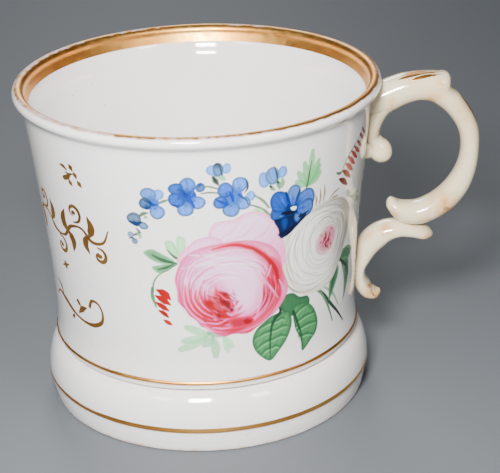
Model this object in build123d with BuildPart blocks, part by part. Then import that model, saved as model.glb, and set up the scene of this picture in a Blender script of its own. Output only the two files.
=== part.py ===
"""Porcelain shaving mug: flared cup on a stepped hollow foot, with a cast scroll handle,
fired gilt lines and a hand-painted enamel flower spray.

Frame: millimetres, +Z up, origin on the cup's axis at the plane that the foot rests on,
handle along +X.
"""
from build123d import *
from math import cos, radians, sin
import os

os.makedirs("parts", exist_ok=True)

# ---------------------------------------------------------------- driving dimensions
mug_height = 91.2           # resting plane to the crest of the lip
lip_radius = 50.0           # outermost radius of the rolled lip
lip_bead_radius = 1.94      # section radius of the rolled lip
lip_overhang = 2.7          # lip past the wall just under it
throat_drop = 7.2           # lip crest down to the throat, where the wall meets the lip
belly_inset = 6.05          # lip radius down to the outside of the wall at the belly
belly_share = 0.6071        # height of the belly as a share of the throat's height
waist_inset = 7.4           # lip radius down to the narrowest outside radius
wall_thickness = 3.2
floor_thickness = 5.5
floor_corner_radius = 8.0   # inside corner between wall and floor

seam_height = 17.0          # plane where the cup is luted on to its foot
neck_step = 0.3             # groove between cup and foot, past the waist
ledge_step = 0.6            # edge that carries the waist line, past the waist
ledge_rise = 2.4            # seam up to that edge
waist_rise = 7.0            # seam up to the waist

foot_inset = 3.8            # lip radius down to the foot's widest radius
foot_edge_height = 6.8      # height of the foot's gilt edge
foot_shoulder_inset = 0.6   # foot's widest radius down to its shoulder
foot_shoulder_rise = 5.2    # gilt edge up to the shoulder
foot_base_inset = 1.3       # foot's widest radius down to its base
foot_wall = 5.4             # thickness of the foot ring at the resting plane
foot_edge_step = 0.3        # how far the edge stands over the band below it
foot_rest_rounding = 0.8

handle_reach = 30.0         # throat radius out to the handle's furthest point
handle_base_height = 23.0   # lowest point of the lower scroll
handle_half_width = 4.6     # half of the handle's width across its plane
spur_half_length = 2.7      # blunt thumb knuckle on the arm
spur_half_height = 2.4
spur_tilt = -8
spur_width_share = 0.8
drop_ball_radius = 3.3
drop_ball_share = 0.70      # height of the ball's centre as a share of the handle's rise
drop_ball_gap = 0.7         # between the ball and the cup wall
drop_stem_radius = 2.0
strap_half_width = 3.6      # strap between the arm's root and the ball
strap_thickness = 2.9

coat_thickness = 0.1        # gilding and enamel, as laid and fired
rim_band_depth = 4.9        # lip crest down to the lower edge of the inner gilt band
line_width = 0.9            # width of a gilt line

# ---------------------------------------------------------------- derived places
lip_centre_height = mug_height - lip_bead_radius
lip_centre_radius = lip_radius - lip_bead_radius
throat_height = mug_height - throat_drop
throat_radius = lip_radius - lip_overhang
belly_height = belly_share * throat_height
belly_radius = lip_radius - belly_inset
waist_radius = lip_radius - waist_inset
waist_height = seam_height + waist_rise
ledge_radius = waist_radius + ledge_step
ledge_height = seam_height + ledge_rise
neck_radius = waist_radius + neck_step
floor_height = seam_height + floor_thickness
foot_radius = lip_radius - foot_inset
foot_shoulder_radius = foot_radius - foot_shoulder_inset
foot_shoulder_height = foot_edge_height + foot_shoulder_rise
foot_base_radius = foot_radius - foot_base_inset
foot_inner_radius = foot_base_radius - foot_wall
handle_rise = lip_centre_height - lip_bead_radius - handle_base_height
drop_ball_height = handle_base_height + drop_ball_share * handle_rise
wall_slope = (throat_radius - belly_radius) / (throat_height - belly_height)
ball_wall_radius = belly_radius + wall_slope * (drop_ball_height - belly_height)
ball_centre_radius = ball_wall_radius + drop_ball_gap + drop_ball_radius


def handle_place(out, up):
    """A point of the handle's middle plane, from fractions of its reach and rise."""
    return (throat_radius + out * handle_reach, 0, handle_base_height + up * handle_rise)


def wall_plane(azimuth):
    """An upright plane through the axis that faces outwards at an azimuth in degrees."""
    turn = radians(azimuth)
    return Plane(origin=(0, 0, 0), x_dir=(-sin(turn), cos(turn), 0), z_dir=(cos(turn), sin(turn), 0))


# ---------------------------------------------------------------- cup
def outside_outline(grown=0.0):
    """Half section of the filled cup from seam to lip, with its outside grown by a coat."""
    bead = lip_bead_radius + grown
    foot_corner = (neck_radius + grown, seam_height)
    ledge = (ledge_radius + grown, ledge_height)
    waist = (waist_radius + grown, waist_height)
    throat = (throat_radius + grown, throat_height)
    bead_under = (lip_centre_radius, lip_centre_height - bead)
    bead_crest = (lip_centre_radius, lip_centre_height + bead)
    Line((0, seam_height), foot_corner)
    Line(foot_corner, ledge)
    Line(ledge, waist)
    Spline(waist, (belly_radius + grown, belly_height), throat, tangents=[(0, 1), (0.12, 1)])
    Line(throat, bead_under)
    ThreePointArc(bead_under, (lip_centre_radius + bead, lip_centre_height), bead_crest)
    Line(bead_crest, (0, lip_centre_height + bead))
    Line((0, lip_centre_height + bead), (0, seam_height))


def cavity_outline(inset=0.0):
    """Half section of the cup's hollow, from the lip's crest down to the floor."""
    bead = lip_bead_radius + inset
    crest = (lip_centre_radius, lip_centre_height + bead)
    bead_inner = (lip_centre_radius - bead, lip_centre_height)
    throat = (throat_radius - wall_thickness - inset, throat_height - wall_thickness / 2)
    belly = (belly_radius - wall_thickness - inset, belly_height)
    waist = (waist_radius - wall_thickness - inset, floor_height)
    Line((0, lip_centre_height + bead), crest)
    RadiusArc(crest, bead_inner, -bead)
    Spline(bead_inner, throat, belly, waist, tangents=[(0, -1), (0, -1)])
    Line(waist, (0, floor_height))
    Line((0, floor_height), (0, lip_centre_height + bead))


with BuildPart() as cup_envelope:
    with BuildSketch(Plane.XZ):
        with BuildLine():
            outside_outline()
        make_face()
    revolve(axis=Axis.Z)

with BuildPart() as cup_body:
    add(cup_envelope.part)
    with BuildSketch(Plane.XZ):
        with BuildLine():
            cavity_outline()
        make_face()
    revolve(axis=Axis.Z, mode=Mode.SUBTRACT)
    floor_edges = cup_body.edges().filter_by(GeomType.CIRCLE).filter_by_position(
        Axis.Z, floor_height - 0.01, floor_height + 0.01
    )
    fillet(floor_edges, radius=floor_corner_radius)
cup_body.part.label = "cup_body"


# ---------------------------------------------------------------- foot
def foot_outline(grown=0.0):
    """Half section of the foot ring, with its outside grown by a coat."""
    corner = (foot_base_radius + grown, 0)
    under_edge = (foot_radius - foot_edge_step + grown, foot_edge_height - line_width / 2)
    edge = (foot_radius + grown, foot_edge_height)
    shoulder = (foot_shoulder_radius + grown, foot_shoulder_height)
    neck = (neck_radius + grown, seam_height)
    Line((foot_inner_radius, 0), corner)
    Line(corner, under_edge)
    Line(under_edge, edge)
    Spline(edge, shoulder, neck, tangents=[(0, 1), (-1, 0.5)])
    Line(neck, (foot_inner_radius, seam_height))
    Line((foot_inner_radius, seam_height), (foot_inner_radius, 0))


with BuildPart() as pedestal_foot:
    with BuildSketch(Plane.XZ):
        with BuildLine():
            foot_outline()
        make_face()
    revolve(axis=Axis.Z)
    rest_edges = pedestal_foot.edges().filter_by_position(Axis.Z, -0.01, 0.01)
    fillet(rest_edges, radius=foot_rest_rounding)
pedestal_foot.part.label = "pedestal_foot"


# ---------------------------------------------------------------- handle
def scroll_planes(places):
    """One plane across a smooth line through the places, at each place."""
    centre_line = Spline(*places, mode=Mode.PRIVATE)
    planes = []
    for place in places:
        along = centre_line.tangent_at(centre_line.param_at_point(place))
        planes.append(Plane(origin=place, x_dir=(0, 1, 0), z_dir=along))
    return planes


# Each station: fraction of the reach, fraction of the rise, half thickness, share of the half width.
loop_stations = [
    (-0.05, 0.935, 4.5, 1.04),
    (0.12, 0.952, 4.3, 1.04),
    (0.29, 0.982, 4.1, 1.02),
    (0.46, 0.996, 3.9, 1.00),
    (0.60, 0.979, 3.6, 0.98),
    (0.73, 0.930, 3.0, 0.94),
    (0.83, 0.865, 2.8, 0.91),
    (0.89, 0.795, 2.7, 0.91),
    (0.90, 0.715, 2.6, 0.91),
    (0.88, 0.640, 2.8, 0.92),
    (0.80, 0.555, 3.1, 0.94),
    (0.69, 0.487, 3.4, 0.96),
    (0.56, 0.439, 3.4, 0.96),
    (0.43, 0.418, 3.2, 0.93),
    (0.31, 0.424, 2.7, 0.86),
    (0.22, 0.452, 1.9, 0.72),
    (0.185, 0.470, 1.3, 0.50),
    (0.165, 0.483, 0.5, 0.20),
]
spur_place = handle_place(0.62, 1.020)
spur_half_width = handle_half_width * spur_width_share

with BuildPart() as handle_loop:
    loop_places = [handle_place(out, up) for out, up, _, _ in loop_stations]
    for plane, station in zip(scroll_planes(loop_places), loop_stations):
        with BuildSketch(plane):
            Ellipse(handle_half_width * station[3], station[2])
    loft()
    with BuildSketch(Plane.XZ.offset(-spur_half_width)):
        with Locations((spur_place[0], spur_place[2])):
            Ellipse(spur_half_length, spur_half_height, rotation=spur_tilt)
    extrude(amount=2 * spur_half_width)
    add(cup_envelope.part, mode=Mode.SUBTRACT)
handle_loop.part.label = "handle_loop"

bracket_stations = [
    (0.590, 0.307, 0.9, 0.55),
    (0.565, 0.311, 1.5, 0.74),
    (0.455, 0.325, 2.1, 0.83),
    (0.320, 0.336, 2.6, 0.87),
    (0.190, 0.345, 3.2, 0.89),
    (0.075, 0.333, 3.9, 0.91),
    (-0.035, 0.281, 3.7, 0.91),
    (-0.100, 0.214, 2.2, 0.91),
    (-0.115, 0.148, 1.6, 0.89),
    (-0.100, 0.095, 1.9, 0.87),
    (-0.055, 0.055, 2.1, 0.83),
    (0.015, 0.036, 1.7, 0.74),
    (0.075, 0.043, 1.2, 0.55),
    (0.105, 0.055, 0.5, 0.25),
]

with BuildPart() as handle_bracket:
    bracket_places = [handle_place(out, up) for out, up, _, _ in bracket_stations]
    for plane, station in zip(scroll_planes(bracket_places), bracket_stations):
        with BuildSketch(plane):
            Ellipse(handle_half_width * station[3], station[2])
    loft()
    add(cup_envelope.part, mode=Mode.SUBTRACT)
    add(handle_loop.part, mode=Mode.SUBTRACT)
handle_bracket.part.label = "handle_bracket"

# The drop hangs from the arm's root down the wall and ends in a ball that stands off the wall.
strap_back = ball_wall_radius - wall_thickness / 2
strap_top = handle_place(0.20, 0.93)
strap_middle = handle_place(0.095, 0.85)
strap_end_height = drop_ball_height + 0.8 * drop_ball_radius
strap_end = (ball_wall_radius + strap_thickness, strap_end_height)

with BuildPart() as handle_drop:
    with BuildSketch(Plane.XZ.offset(-strap_half_width)):
        with BuildLine():
            Line((strap_back, strap_end_height), strap_end)
            ThreePointArc(strap_end, (strap_middle[0], strap_middle[2]), (strap_top[0], strap_top[2]))
            Line((strap_top[0], strap_top[2]), (strap_back, strap_top[2]))
            Line((strap_back, strap_top[2]), (strap_back, strap_end_height))
        make_face()
    extrude(amount=2 * strap_half_width)
    with Locations((ball_centre_radius, 0, drop_ball_height)):
        Sphere(drop_ball_radius)
    with BuildSketch(Plane.YZ.offset(strap_back)):
        with Locations((0, drop_ball_height)):
            Circle(drop_stem_radius)
    extrude(amount=ball_centre_radius - strap_back)
    add(cup_envelope.part, mode=Mode.SUBTRACT)
    add(handle_loop.part, mode=Mode.SUBTRACT)
handle_drop.part.label = "handle_drop"

# ---------------------------------------------------------------- gilding
with BuildPart() as wall_coat:
    with BuildSketch(Plane.XZ):
        with BuildLine():
            outside_outline(coat_thickness)
        make_face()
    revolve(axis=Axis.Z)
    add(cup_envelope.part, mode=Mode.SUBTRACT)


def keep_heights(low, high):
    """Keeps only the part of a coat that lies between two heights."""
    with Locations((0, 0, (low + high) / 2)):
        Cylinder(2 * lip_radius, high - low, mode=Mode.INTERSECT)


with BuildPart() as rim_gilt_band:
    with BuildSketch(Plane.XZ):
        with BuildLine():
            cavity_outline()
        make_face()
    revolve(axis=Axis.Z)
    with BuildSketch(Plane.XZ):
        with BuildLine():
            cavity_outline(coat_thickness)
        make_face()
    revolve(axis=Axis.Z, mode=Mode.SUBTRACT)
    keep_heights(mug_height - rim_band_depth, mug_height)
rim_gilt_band.part.label = "rim_gilt_band"

with BuildPart() as waist_gilt_line:
    add(wall_coat.part)
    keep_heights(ledge_height - line_width / 4, ledge_height + 3 * line_width / 4)
waist_gilt_line.part.label = "waist_gilt_line"

with BuildPart() as foot_gilt_line:
    with BuildSketch(Plane.XZ):
        with BuildLine():
            foot_outline(coat_thickness)
        make_face()
    revolve(axis=Axis.Z)
    add(pedestal_foot.part, mode=Mode.SUBTRACT)
    keep_heights(foot_edge_height - line_width / 2, foot_edge_height + line_width / 2)
foot_gilt_line.part.label = "foot_gilt_line"


# ---------------------------------------------------------------- painted ornament
def painted(label, dabs, painted_over=()):
    """Elliptical dabs of coat: azimuth, height, half width, half height, tilt.

    Widths are shares of the lip's radius, heights are shares of the throat's height.
    """
    laid = []
    for azimuth, height, half_width, half_height, tilt in dabs:
        with BuildPart() as dab:
            with BuildSketch(wall_plane(azimuth)):
                with Locations((0, height * throat_height)):
                    Ellipse(half_width * lip_radius, half_height * throat_height, rotation=tilt)
            extrude(amount=lip_radius)
            add(wall_coat.part, mode=Mode.INTERSECT)
        laid.append(dab.part)
    with BuildPart() as ornament:
        for part in laid:
            add(part)
        for other in painted_over:
            add(other.part, mode=Mode.SUBTRACT)
    ornament.part.label = label
    return ornament


blue_blossoms = painted(
    "blue_blossoms",
    [
        (-109.5, 0.745, 0.036, 0.024, 0),
        (-106.8, 0.800, 0.048, 0.026, 0),
        (-101.5, 0.863, 0.068, 0.043, 0),
        (-91.0, 0.893, 0.092, 0.062, 0),
        (-80.8, 0.971, 0.056, 0.024, 0),
        (-75.8, 0.881, 0.100, 0.062, 0),
        (-64.0, 0.931, 0.068, 0.031, 0),
        (-56.5, 0.810, 0.124, 0.076, 0),
    ],
)
pink_rose = painted("pink_rose", [(-77.0, 0.601, 0.300, 0.185, 0)], [blue_blossoms])
white_rose = painted("white_rose", [(-42.0, 0.631, 0.250, 0.149, 0)], [blue_blossoms, pink_rose])
red_buds = painted(
    "red_buds",
    [(-100.8, 0.519, 0.038, 0.050, 10), (-27.0, 0.869, 0.112, 0.021, 30)],
    [pink_rose, white_rose],
)
green_leaves = painted(
    "green_leaves",
    [
        (-63.0, 0.367, 0.104, 0.071, -12),
        (-47.6, 0.379, 0.092, 0.074, 12),
        (-54.5, 0.470, 0.080, 0.036, 0),
        (-98.5, 0.679, 0.092, 0.036, 0),
        (-24.0, 0.500, 0.088, 0.060, 0),
    ],
    [pink_rose, white_rose],
)
pale_leaves = painted(
    "pale_leaves",
    [(-90.5, 0.399, 0.092, 0.043, 20), (-81.5, 0.362, 0.052, 0.038, 0), (-49.5, 0.924, 0.064, 0.052, 0)],
    [pink_rose, blue_blossoms, green_leaves],
)
gilt_scrollwork = painted(
    "gilt_scrollwork",
    [
        (-132.0, 0.911, 0.068, 0.031, 0),
        (-135.0, 0.744, 0.240, 0.040, 30),
        (-145.0, 0.560, 0.064, 0.019, 0),
        (-138.0, 0.429, 0.180, 0.040, 0),
    ],
)

pieces = [
    cup_body,
    pedestal_foot,
    handle_loop,
    handle_bracket,
    handle_drop,
    rim_gilt_band,
    waist_gilt_line,
    foot_gilt_line,
    gilt_scrollwork,
    blue_blossoms,
    pink_rose,
    white_rose,
    red_buds,
    green_leaves,
    pale_leaves,
]
for piece in pieces:
    print(piece.part.label, len(piece.solids()), round(piece.part.volume, 2))
    export_step(piece.part, "parts/" + piece.part.label + ".step")
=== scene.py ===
# %% [markdown]
# # A painted porcelain shaving mug
# The mug is one fired ceramic: a flared cup on a stepped hollow foot, with a cast scroll handle.
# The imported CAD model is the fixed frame. It gives the sizes and the resting plane, and every
# visible surface here is a finer skin for one of its nodes.

# %% Load the frame
import math

import bpy
import numpy as np
from mathutils import Matrix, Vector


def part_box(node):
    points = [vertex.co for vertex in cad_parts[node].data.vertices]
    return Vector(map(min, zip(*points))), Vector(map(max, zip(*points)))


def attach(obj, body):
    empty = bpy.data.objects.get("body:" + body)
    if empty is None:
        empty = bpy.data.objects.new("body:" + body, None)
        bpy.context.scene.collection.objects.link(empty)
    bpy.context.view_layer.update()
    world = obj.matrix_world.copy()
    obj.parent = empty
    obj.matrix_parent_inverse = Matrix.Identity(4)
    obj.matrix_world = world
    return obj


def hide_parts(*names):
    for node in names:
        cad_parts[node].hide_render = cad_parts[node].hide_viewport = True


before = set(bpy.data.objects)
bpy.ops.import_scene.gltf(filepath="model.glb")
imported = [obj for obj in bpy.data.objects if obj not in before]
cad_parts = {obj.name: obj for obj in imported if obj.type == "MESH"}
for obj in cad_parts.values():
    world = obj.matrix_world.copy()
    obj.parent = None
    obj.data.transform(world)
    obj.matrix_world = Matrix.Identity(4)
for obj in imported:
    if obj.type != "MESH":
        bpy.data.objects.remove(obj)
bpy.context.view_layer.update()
MM = 0.001
_, cup_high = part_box("cup_body")
_, foot_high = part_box("pedestal_foot")
_, loop_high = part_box("handle_loop")
mug_height = cup_high[2] / MM
lip_radius = cup_high[1] / MM - 0.01
seam_height = foot_high[2] / MM
foot_radius = foot_high[0] / MM
print("mug height", round(mug_height, 2), "lip radius", round(lip_radius, 2), "mm")

# %% [markdown]
# ## Camera, floor and light
# The camera stands in front of the mug and looks down on it at about 24 degrees, as a person
# sees a mug on a table. A long lens keeps the lip's ellipse calm. The camera is made from an eye,
# an aim point and a small roll, because those are easy to read and to change one at a time.

# %% Camera
eye_azimuth = -86.0
eye_distance = 408.8
eye_height = 224.8
aim_point = np.array([13.04, 0.91, 42.62])
roll_degrees = -1.80
lens_mm = 113.76

turn = math.radians(eye_azimuth)
eye_point = np.array([eye_distance * math.cos(turn), eye_distance * math.sin(turn), eye_height])
forward = (aim_point - eye_point) / np.linalg.norm(aim_point - eye_point)
level_right = np.cross(forward, [0, 0, 1])
level_right = level_right / np.linalg.norm(level_right)
level_up = np.cross(level_right, forward)
roll = math.radians(roll_degrees)
camera_right = level_right * math.cos(roll) + level_up * math.sin(roll)
camera_up = np.cross(camera_right, forward)

camera = bpy.data.objects.new("camera", bpy.data.cameras.new("camera"))
camera.data.lens = lens_mm
camera.data.sensor_width = 36
camera.data.clip_start = 0.01
pose = np.eye(4)
pose[:3, 0] = camera_right
pose[:3, 1] = camera_up
pose[:3, 2] = -forward
pose[:3, 3] = eye_point * MM
camera.matrix_world = Matrix(pose.tolist())
bpy.context.scene.collection.objects.link(camera)
bpy.context.scene.camera = camera
print("camera elevation", round(math.degrees(math.asin(-forward[2])), 1), "degrees")

# %% [markdown]
# Glazed porcelain is read by its highlights, so each light is a square panel that the glaze can
# mirror. A small strong key panel stands in front, close to the camera's side. Two weaker and
# larger panels stand further off to its left and right. One more lights the floor behind the mug,
# and a faint world keeps the shadows from going black.

# %% Light and floor
def soft_panel(name, place, aim, size, power, colour):
    """A square area light at a place in metres that faces an aim point."""
    light = bpy.data.lights.new(name, "AREA")
    light.shape = "SQUARE"
    light.size = size
    light.energy = power
    light.color = colour
    panel = bpy.data.objects.new(name, light)
    back = np.array(place, float) - np.array(aim, float)
    back = back / np.linalg.norm(back)
    side = np.cross([0, 0, 1], back)
    side = side / np.linalg.norm(side)
    matrix = np.eye(4)
    matrix[:3, 0] = side
    matrix[:3, 1] = np.cross(back, side)
    matrix[:3, 2] = back
    matrix[:3, 3] = place
    panel.matrix_world = Matrix(matrix.tolist())
    bpy.context.scene.collection.objects.link(panel)
    return panel


def polar_place(azimuth, elevation, distance):
    """A place in metres from an azimuth and an elevation in degrees, seen from the mug's middle."""
    turn, rise = math.radians(azimuth), math.radians(elevation)
    flat = distance * math.cos(rise)
    return (flat * math.cos(turn), flat * math.sin(turn), distance * math.sin(rise) + mug_middle[2])


mug_middle = (0, 0, 0.5 * mug_height * MM)
soft_panel("key_panel", polar_place(-94, 34, 0.38), mug_middle, 0.085, 4.3, (1.0, 0.985, 0.965))
soft_panel("left_panel", polar_place(-124, 36, 0.80), mug_middle, 0.16, 0.9, (0.97, 0.98, 1.0))
soft_panel("right_panel", polar_place(-48, 34, 0.80), mug_middle, 0.16, 1.5, (1.0, 0.97, 0.94))
soft_panel("back_panel", (-0.10, 0.80, 0.50), (0.0, 0.50, 0.0), 0.30, 2.6, (0.97, 0.98, 1.0))

world = bpy.data.worlds.new("studio")
bpy.context.scene.world = world
world.use_nodes = True
world.node_tree.nodes["Background"].inputs["Color"].default_value = (0.84, 0.88, 0.94, 1)
world.node_tree.nodes["Background"].inputs["Strength"].default_value = 0.055


def plain_material(name, colour, roughness):
    """A plain surface for the stage."""
    material = bpy.data.materials.new(name)
    material.use_nodes = True
    shader = material.node_tree.nodes["Principled BSDF"]
    shader.inputs["Base Color"].default_value = (*colour, 1)
    shader.inputs["Roughness"].default_value = roughness
    return material


floor_half = 3.0
floor_mesh = bpy.data.meshes.new("floor")
floor_signs = [(-1, -1), (1, -1), (1, 1), (-1, 1)]
floor_corners = [(x * floor_half, y * floor_half, 0) for x, y in floor_signs]
floor_mesh.from_pydata(floor_corners, [], [(0, 1, 2, 3)])
floor_mesh.materials.append(plain_material("pale_floor", (0.115, 0.128, 0.142), 0.60))
floor = bpy.data.objects.new("floor", floor_mesh)
bpy.context.scene.collection.objects.link(floor)

# %% [markdown]
# ## Surfaces from grids
# Every piece is a surface: an array of points with two parameters. One helper turns such a grid
# into a mesh. It can wrap either way round, and it closes a row that has shrunk to a point with
# one shared vertex, so that a lathe's pole or a tube's tip has no hole and no doubled points.

# %% Grid to mesh
def grid_faces(rows, columns, wrap):
    """Quads between neighbouring rows and columns of a grid; wrap joins the last column to the first."""
    row = np.arange(rows - 1)[:, None]
    column = np.arange(columns if wrap else columns - 1)[None, :]
    following = (column + 1) % columns
    first = row * columns + column
    second = row * columns + following
    third = (row + 1) * columns + following
    fourth = (row + 1) * columns + column
    return np.stack([first, second, third, fourth], axis=-1).reshape(-1, 4)


def build_mesh(name, points, quads, fans=()):
    """A smooth mesh from points in millimetres, quads and triangle fans, put in the scene."""
    mesh = bpy.data.meshes.new(name)
    triangles = np.concatenate(fans) if len(fans) else np.zeros((0, 3), int)
    mesh.vertices.add(len(points))
    mesh.vertices.foreach_set("co", (np.asarray(points, float) * MM).ravel())
    corner_count = quads.size + triangles.size
    mesh.loops.add(corner_count)
    corners = np.concatenate([quads.ravel(), triangles.ravel()])
    mesh.loops.foreach_set("vertex_index", corners.astype(np.int32))
    mesh.polygons.add(len(quads) + len(triangles))
    starts = np.concatenate([np.arange(len(quads)) * 4, quads.size + np.arange(len(triangles)) * 3])
    mesh.polygons.foreach_set("loop_start", starts.astype(np.int32))
    mesh.polygons.foreach_set("use_smooth", np.ones(len(starts), bool))
    mesh.update(calc_edges=True)
    mesh.validate()
    piece = bpy.data.objects.new(name, mesh)
    bpy.context.scene.collection.objects.link(piece)
    return piece


def closed_surface(name, grid):
    """A grid whose columns wrap round and whose first and last rows are single points (poles)."""
    inner = grid[1:-1]
    rows, columns = inner.shape[:2]
    points = np.concatenate([inner.reshape(-1, 3), grid[:1, 0], grid[-1:, 0]])
    around = np.arange(columns)
    following = (around + 1) % columns
    first_pole = np.full(columns, rows * columns)
    last_pole = first_pole + 1
    last_row = (rows - 1) * columns
    fans = [
        np.stack([first_pole, following, around], axis=-1),
        np.stack([last_pole, last_row + around, last_row + following], axis=-1),
    ]
    return build_mesh(name, points, grid_faces(rows, columns, True), fans)


def ring_surface(name, grid):
    """A grid that wraps both ways, such as a ring with a closed section."""
    rows, columns = grid.shape[:2]
    looped = grid_faces(rows + 1, columns, True) % (rows * columns)
    return build_mesh(name, grid.reshape(-1, 3), looped)


# %% [markdown]
# Curves here are either arcs or smooth lines through a few chosen stations. The smooth line is a
# cubic between neighbouring stations whose slope at each station is the slope between the two
# stations around it, so a row of stations never makes a corner.

# %% Curve helpers
def smooth_through(knots, values, where):
    """Cubic Hermite curve through values at knots, with slopes from each station's neighbours."""
    knots = np.asarray(knots, float)
    values = np.asarray(values, float)
    where = np.clip(where, knots[0], knots[-1])
    slopes = np.gradient(values, knots)
    index = np.clip(np.searchsorted(knots, where, side="right") - 1, 0, len(knots) - 2)
    span = knots[index + 1] - knots[index]
    t = (where - knots[index]) / span
    rise = t * t * (3 - 2 * t)
    out = values[index] * (1 - rise) + values[index + 1] * rise
    out += slopes[index] * span * t * (1 - t) ** 2
    out += slopes[index + 1] * span * t * t * (t - 1)
    return out


def arc(centre, radius, start, stop, count):
    """Points (radius, height) on a circular arc between two angles in degrees."""
    angle = np.radians(np.linspace(start, stop, count))
    return np.stack([centre[0] + radius * np.cos(angle), centre[1] + radius * np.sin(angle)], axis=-1)


def straight(start, stop, count):
    """Evenly spaced points from start up to, but without, stop."""
    share = np.linspace(0, 1, count, endpoint=False)[:, None]
    return np.asarray(start, float) * (1 - share) + np.asarray(stop, float) * share


def curve_through(stations, count):
    """A smooth line through (radius, height) stations, spaced by their distance apart."""
    stations = np.asarray(stations, float)
    steps = np.linalg.norm(np.diff(stations, axis=0), axis=1)
    knots = np.concatenate([[0], np.cumsum(steps)])
    where = np.linspace(0, knots[-1], count, endpoint=False)
    return np.stack([smooth_through(knots, stations[:, k], where) for k in range(2)], axis=-1)


def spin(profile, columns):
    """A lathe surface: the profile (radius, height) turned round the Z axis."""
    angle = np.linspace(0, 2 * np.pi, columns, endpoint=False)
    radius = profile[:, 0][:, None]
    height = np.repeat(profile[:, 1][:, None], columns, axis=1)
    return np.stack([radius * np.cos(angle), radius * np.sin(angle), height], axis=-1)


# %% [markdown]
# ## The cup
# The wall was turned in a mould: it is narrow above the foot, flares gently to the mouth and ends
# in a rolled lip. Its lower edge is a small ledge that carries a gilt line. A lathe profile is the
# natural way to make it, because the real one was shaped by a turning profile too.

# %% Cup profile and mesh
lip_bead = 1.62
lip_inside = [(46.40, 88.6), (45.85, 87.3), (45.22, 86.0)]
lip_centre = np.array([lip_radius - lip_bead, mug_height - lip_bead - 0.06])
wall_knots = [20.4, 24.0, 34.0, 51.0, 68.0, 84.0]
wall_radii = [42.95, 42.60, 42.80, 43.95, 45.60, 47.30]
wall_inset = 3.2
floor_height = 22.5
floor_corner = 8.0


def wall_radius(height):
    """Outside radius of the cup's wall at a height, in millimetres."""
    return smooth_through(wall_knots, wall_radii, height)


outer_wall = straight((0, 20.4), (0, 84.0), 72)
outer_wall[:, 0] = wall_radius(outer_wall[:, 1])
inner_heights = np.linspace(86.0, floor_height + floor_corner, 44, endpoint=False)
inner_wall = np.stack([wall_radius(np.minimum(inner_heights, 84.0)) - wall_inset, inner_heights], axis=-1)
inner_wall[:, 0] += 0.28 * np.maximum(inner_heights - 82.0, 0)
corner_radius_centre = wall_radius(floor_height + floor_corner) - wall_inset - floor_corner
cup_profile = np.concatenate([
    [(0, seam_height)],
    straight((20, seam_height), (42.55, seam_height), 6),
    arc((42.05, 18.25), 0.6, -60, 20, 6),
    arc((42.72, 19.72), 0.48, -50, 60, 9),
    outer_wall,
    curve_through([(47.30, 84.0), (47.50, 85.6), (47.92, 87.0), (48.55, 87.75)], 12),
    arc(lip_centre, lip_bead, -56, 188, 44),
    curve_through(lip_inside, 8),
    inner_wall,
    arc((corner_radius_centre, floor_height + floor_corner), floor_corner, 0, -90, 18),
    straight((corner_radius_centre - 1, floor_height), (1.0, floor_height), 8),
    [(0, floor_height)],
])
lathe_columns = 384
cup_skin = closed_surface("cup_skin", spin(cup_profile, lathe_columns))
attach(cup_skin, "root")
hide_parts("cup_body")
print("cup profile points", len(cup_profile), "faces", len(cup_skin.data.polygons))

# %% [markdown]
# ## The foot
# The foot is a hollow ring luted under the cup. Its shoulder swells out from the neck like a
# cushion and stops at a gilt edge, and a shallow band drops from there to the table. The ring is
# open underneath, so its section is a closed loop and the surface wraps both ways.

# %% Foot profile and mesh
foot_inner = 39.5
foot_profile = np.concatenate([
    straight((foot_inner, seam_height), (42.3, seam_height), 4),
    curve_through([(42.5, 16.9), (43.3, 16.2), (44.5, 14.6), (45.45, 12.2), (46.0, 9.6),
                   (foot_radius - 0.05, 7.5)], 34),
    arc((foot_radius - 0.55, 6.95), 0.5, 15, -55, 8),
    curve_through([(45.82, 6.35), (45.72, 5.6), (45.5, 3.4), (45.15, 1.3)], 14),
    arc((44.2, 0.85), 0.85, -15, -90, 9),
    straight((43.6, 0), (foot_inner + 0.9, 0), 5),
    arc((foot_inner + 0.8, 0.8), 0.8, -90, -180, 7),
    straight((foot_inner, 1.2), (foot_inner, seam_height - 0.3), 14),
])
foot_skin = ring_surface("foot_skin", spin(foot_profile[::-1], lathe_columns))
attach(foot_skin, "root")
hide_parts("pedestal_foot")

# %% [markdown]
# ## The handle
# The handle was cast in a plaster mould and stuck on with slip. It is a C-scroll with a blunt
# thumb knuckle on top, a rounded curl below, a strap and ball drop under its root, and an
# S-scroll bracket that carries the curl. Each scroll is a rounded section carried along a line:
# at every station the section has its own thickness to either side of the line, so the knuckle
# grows out of the arm without a joint, as it does in a casting.

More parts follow.
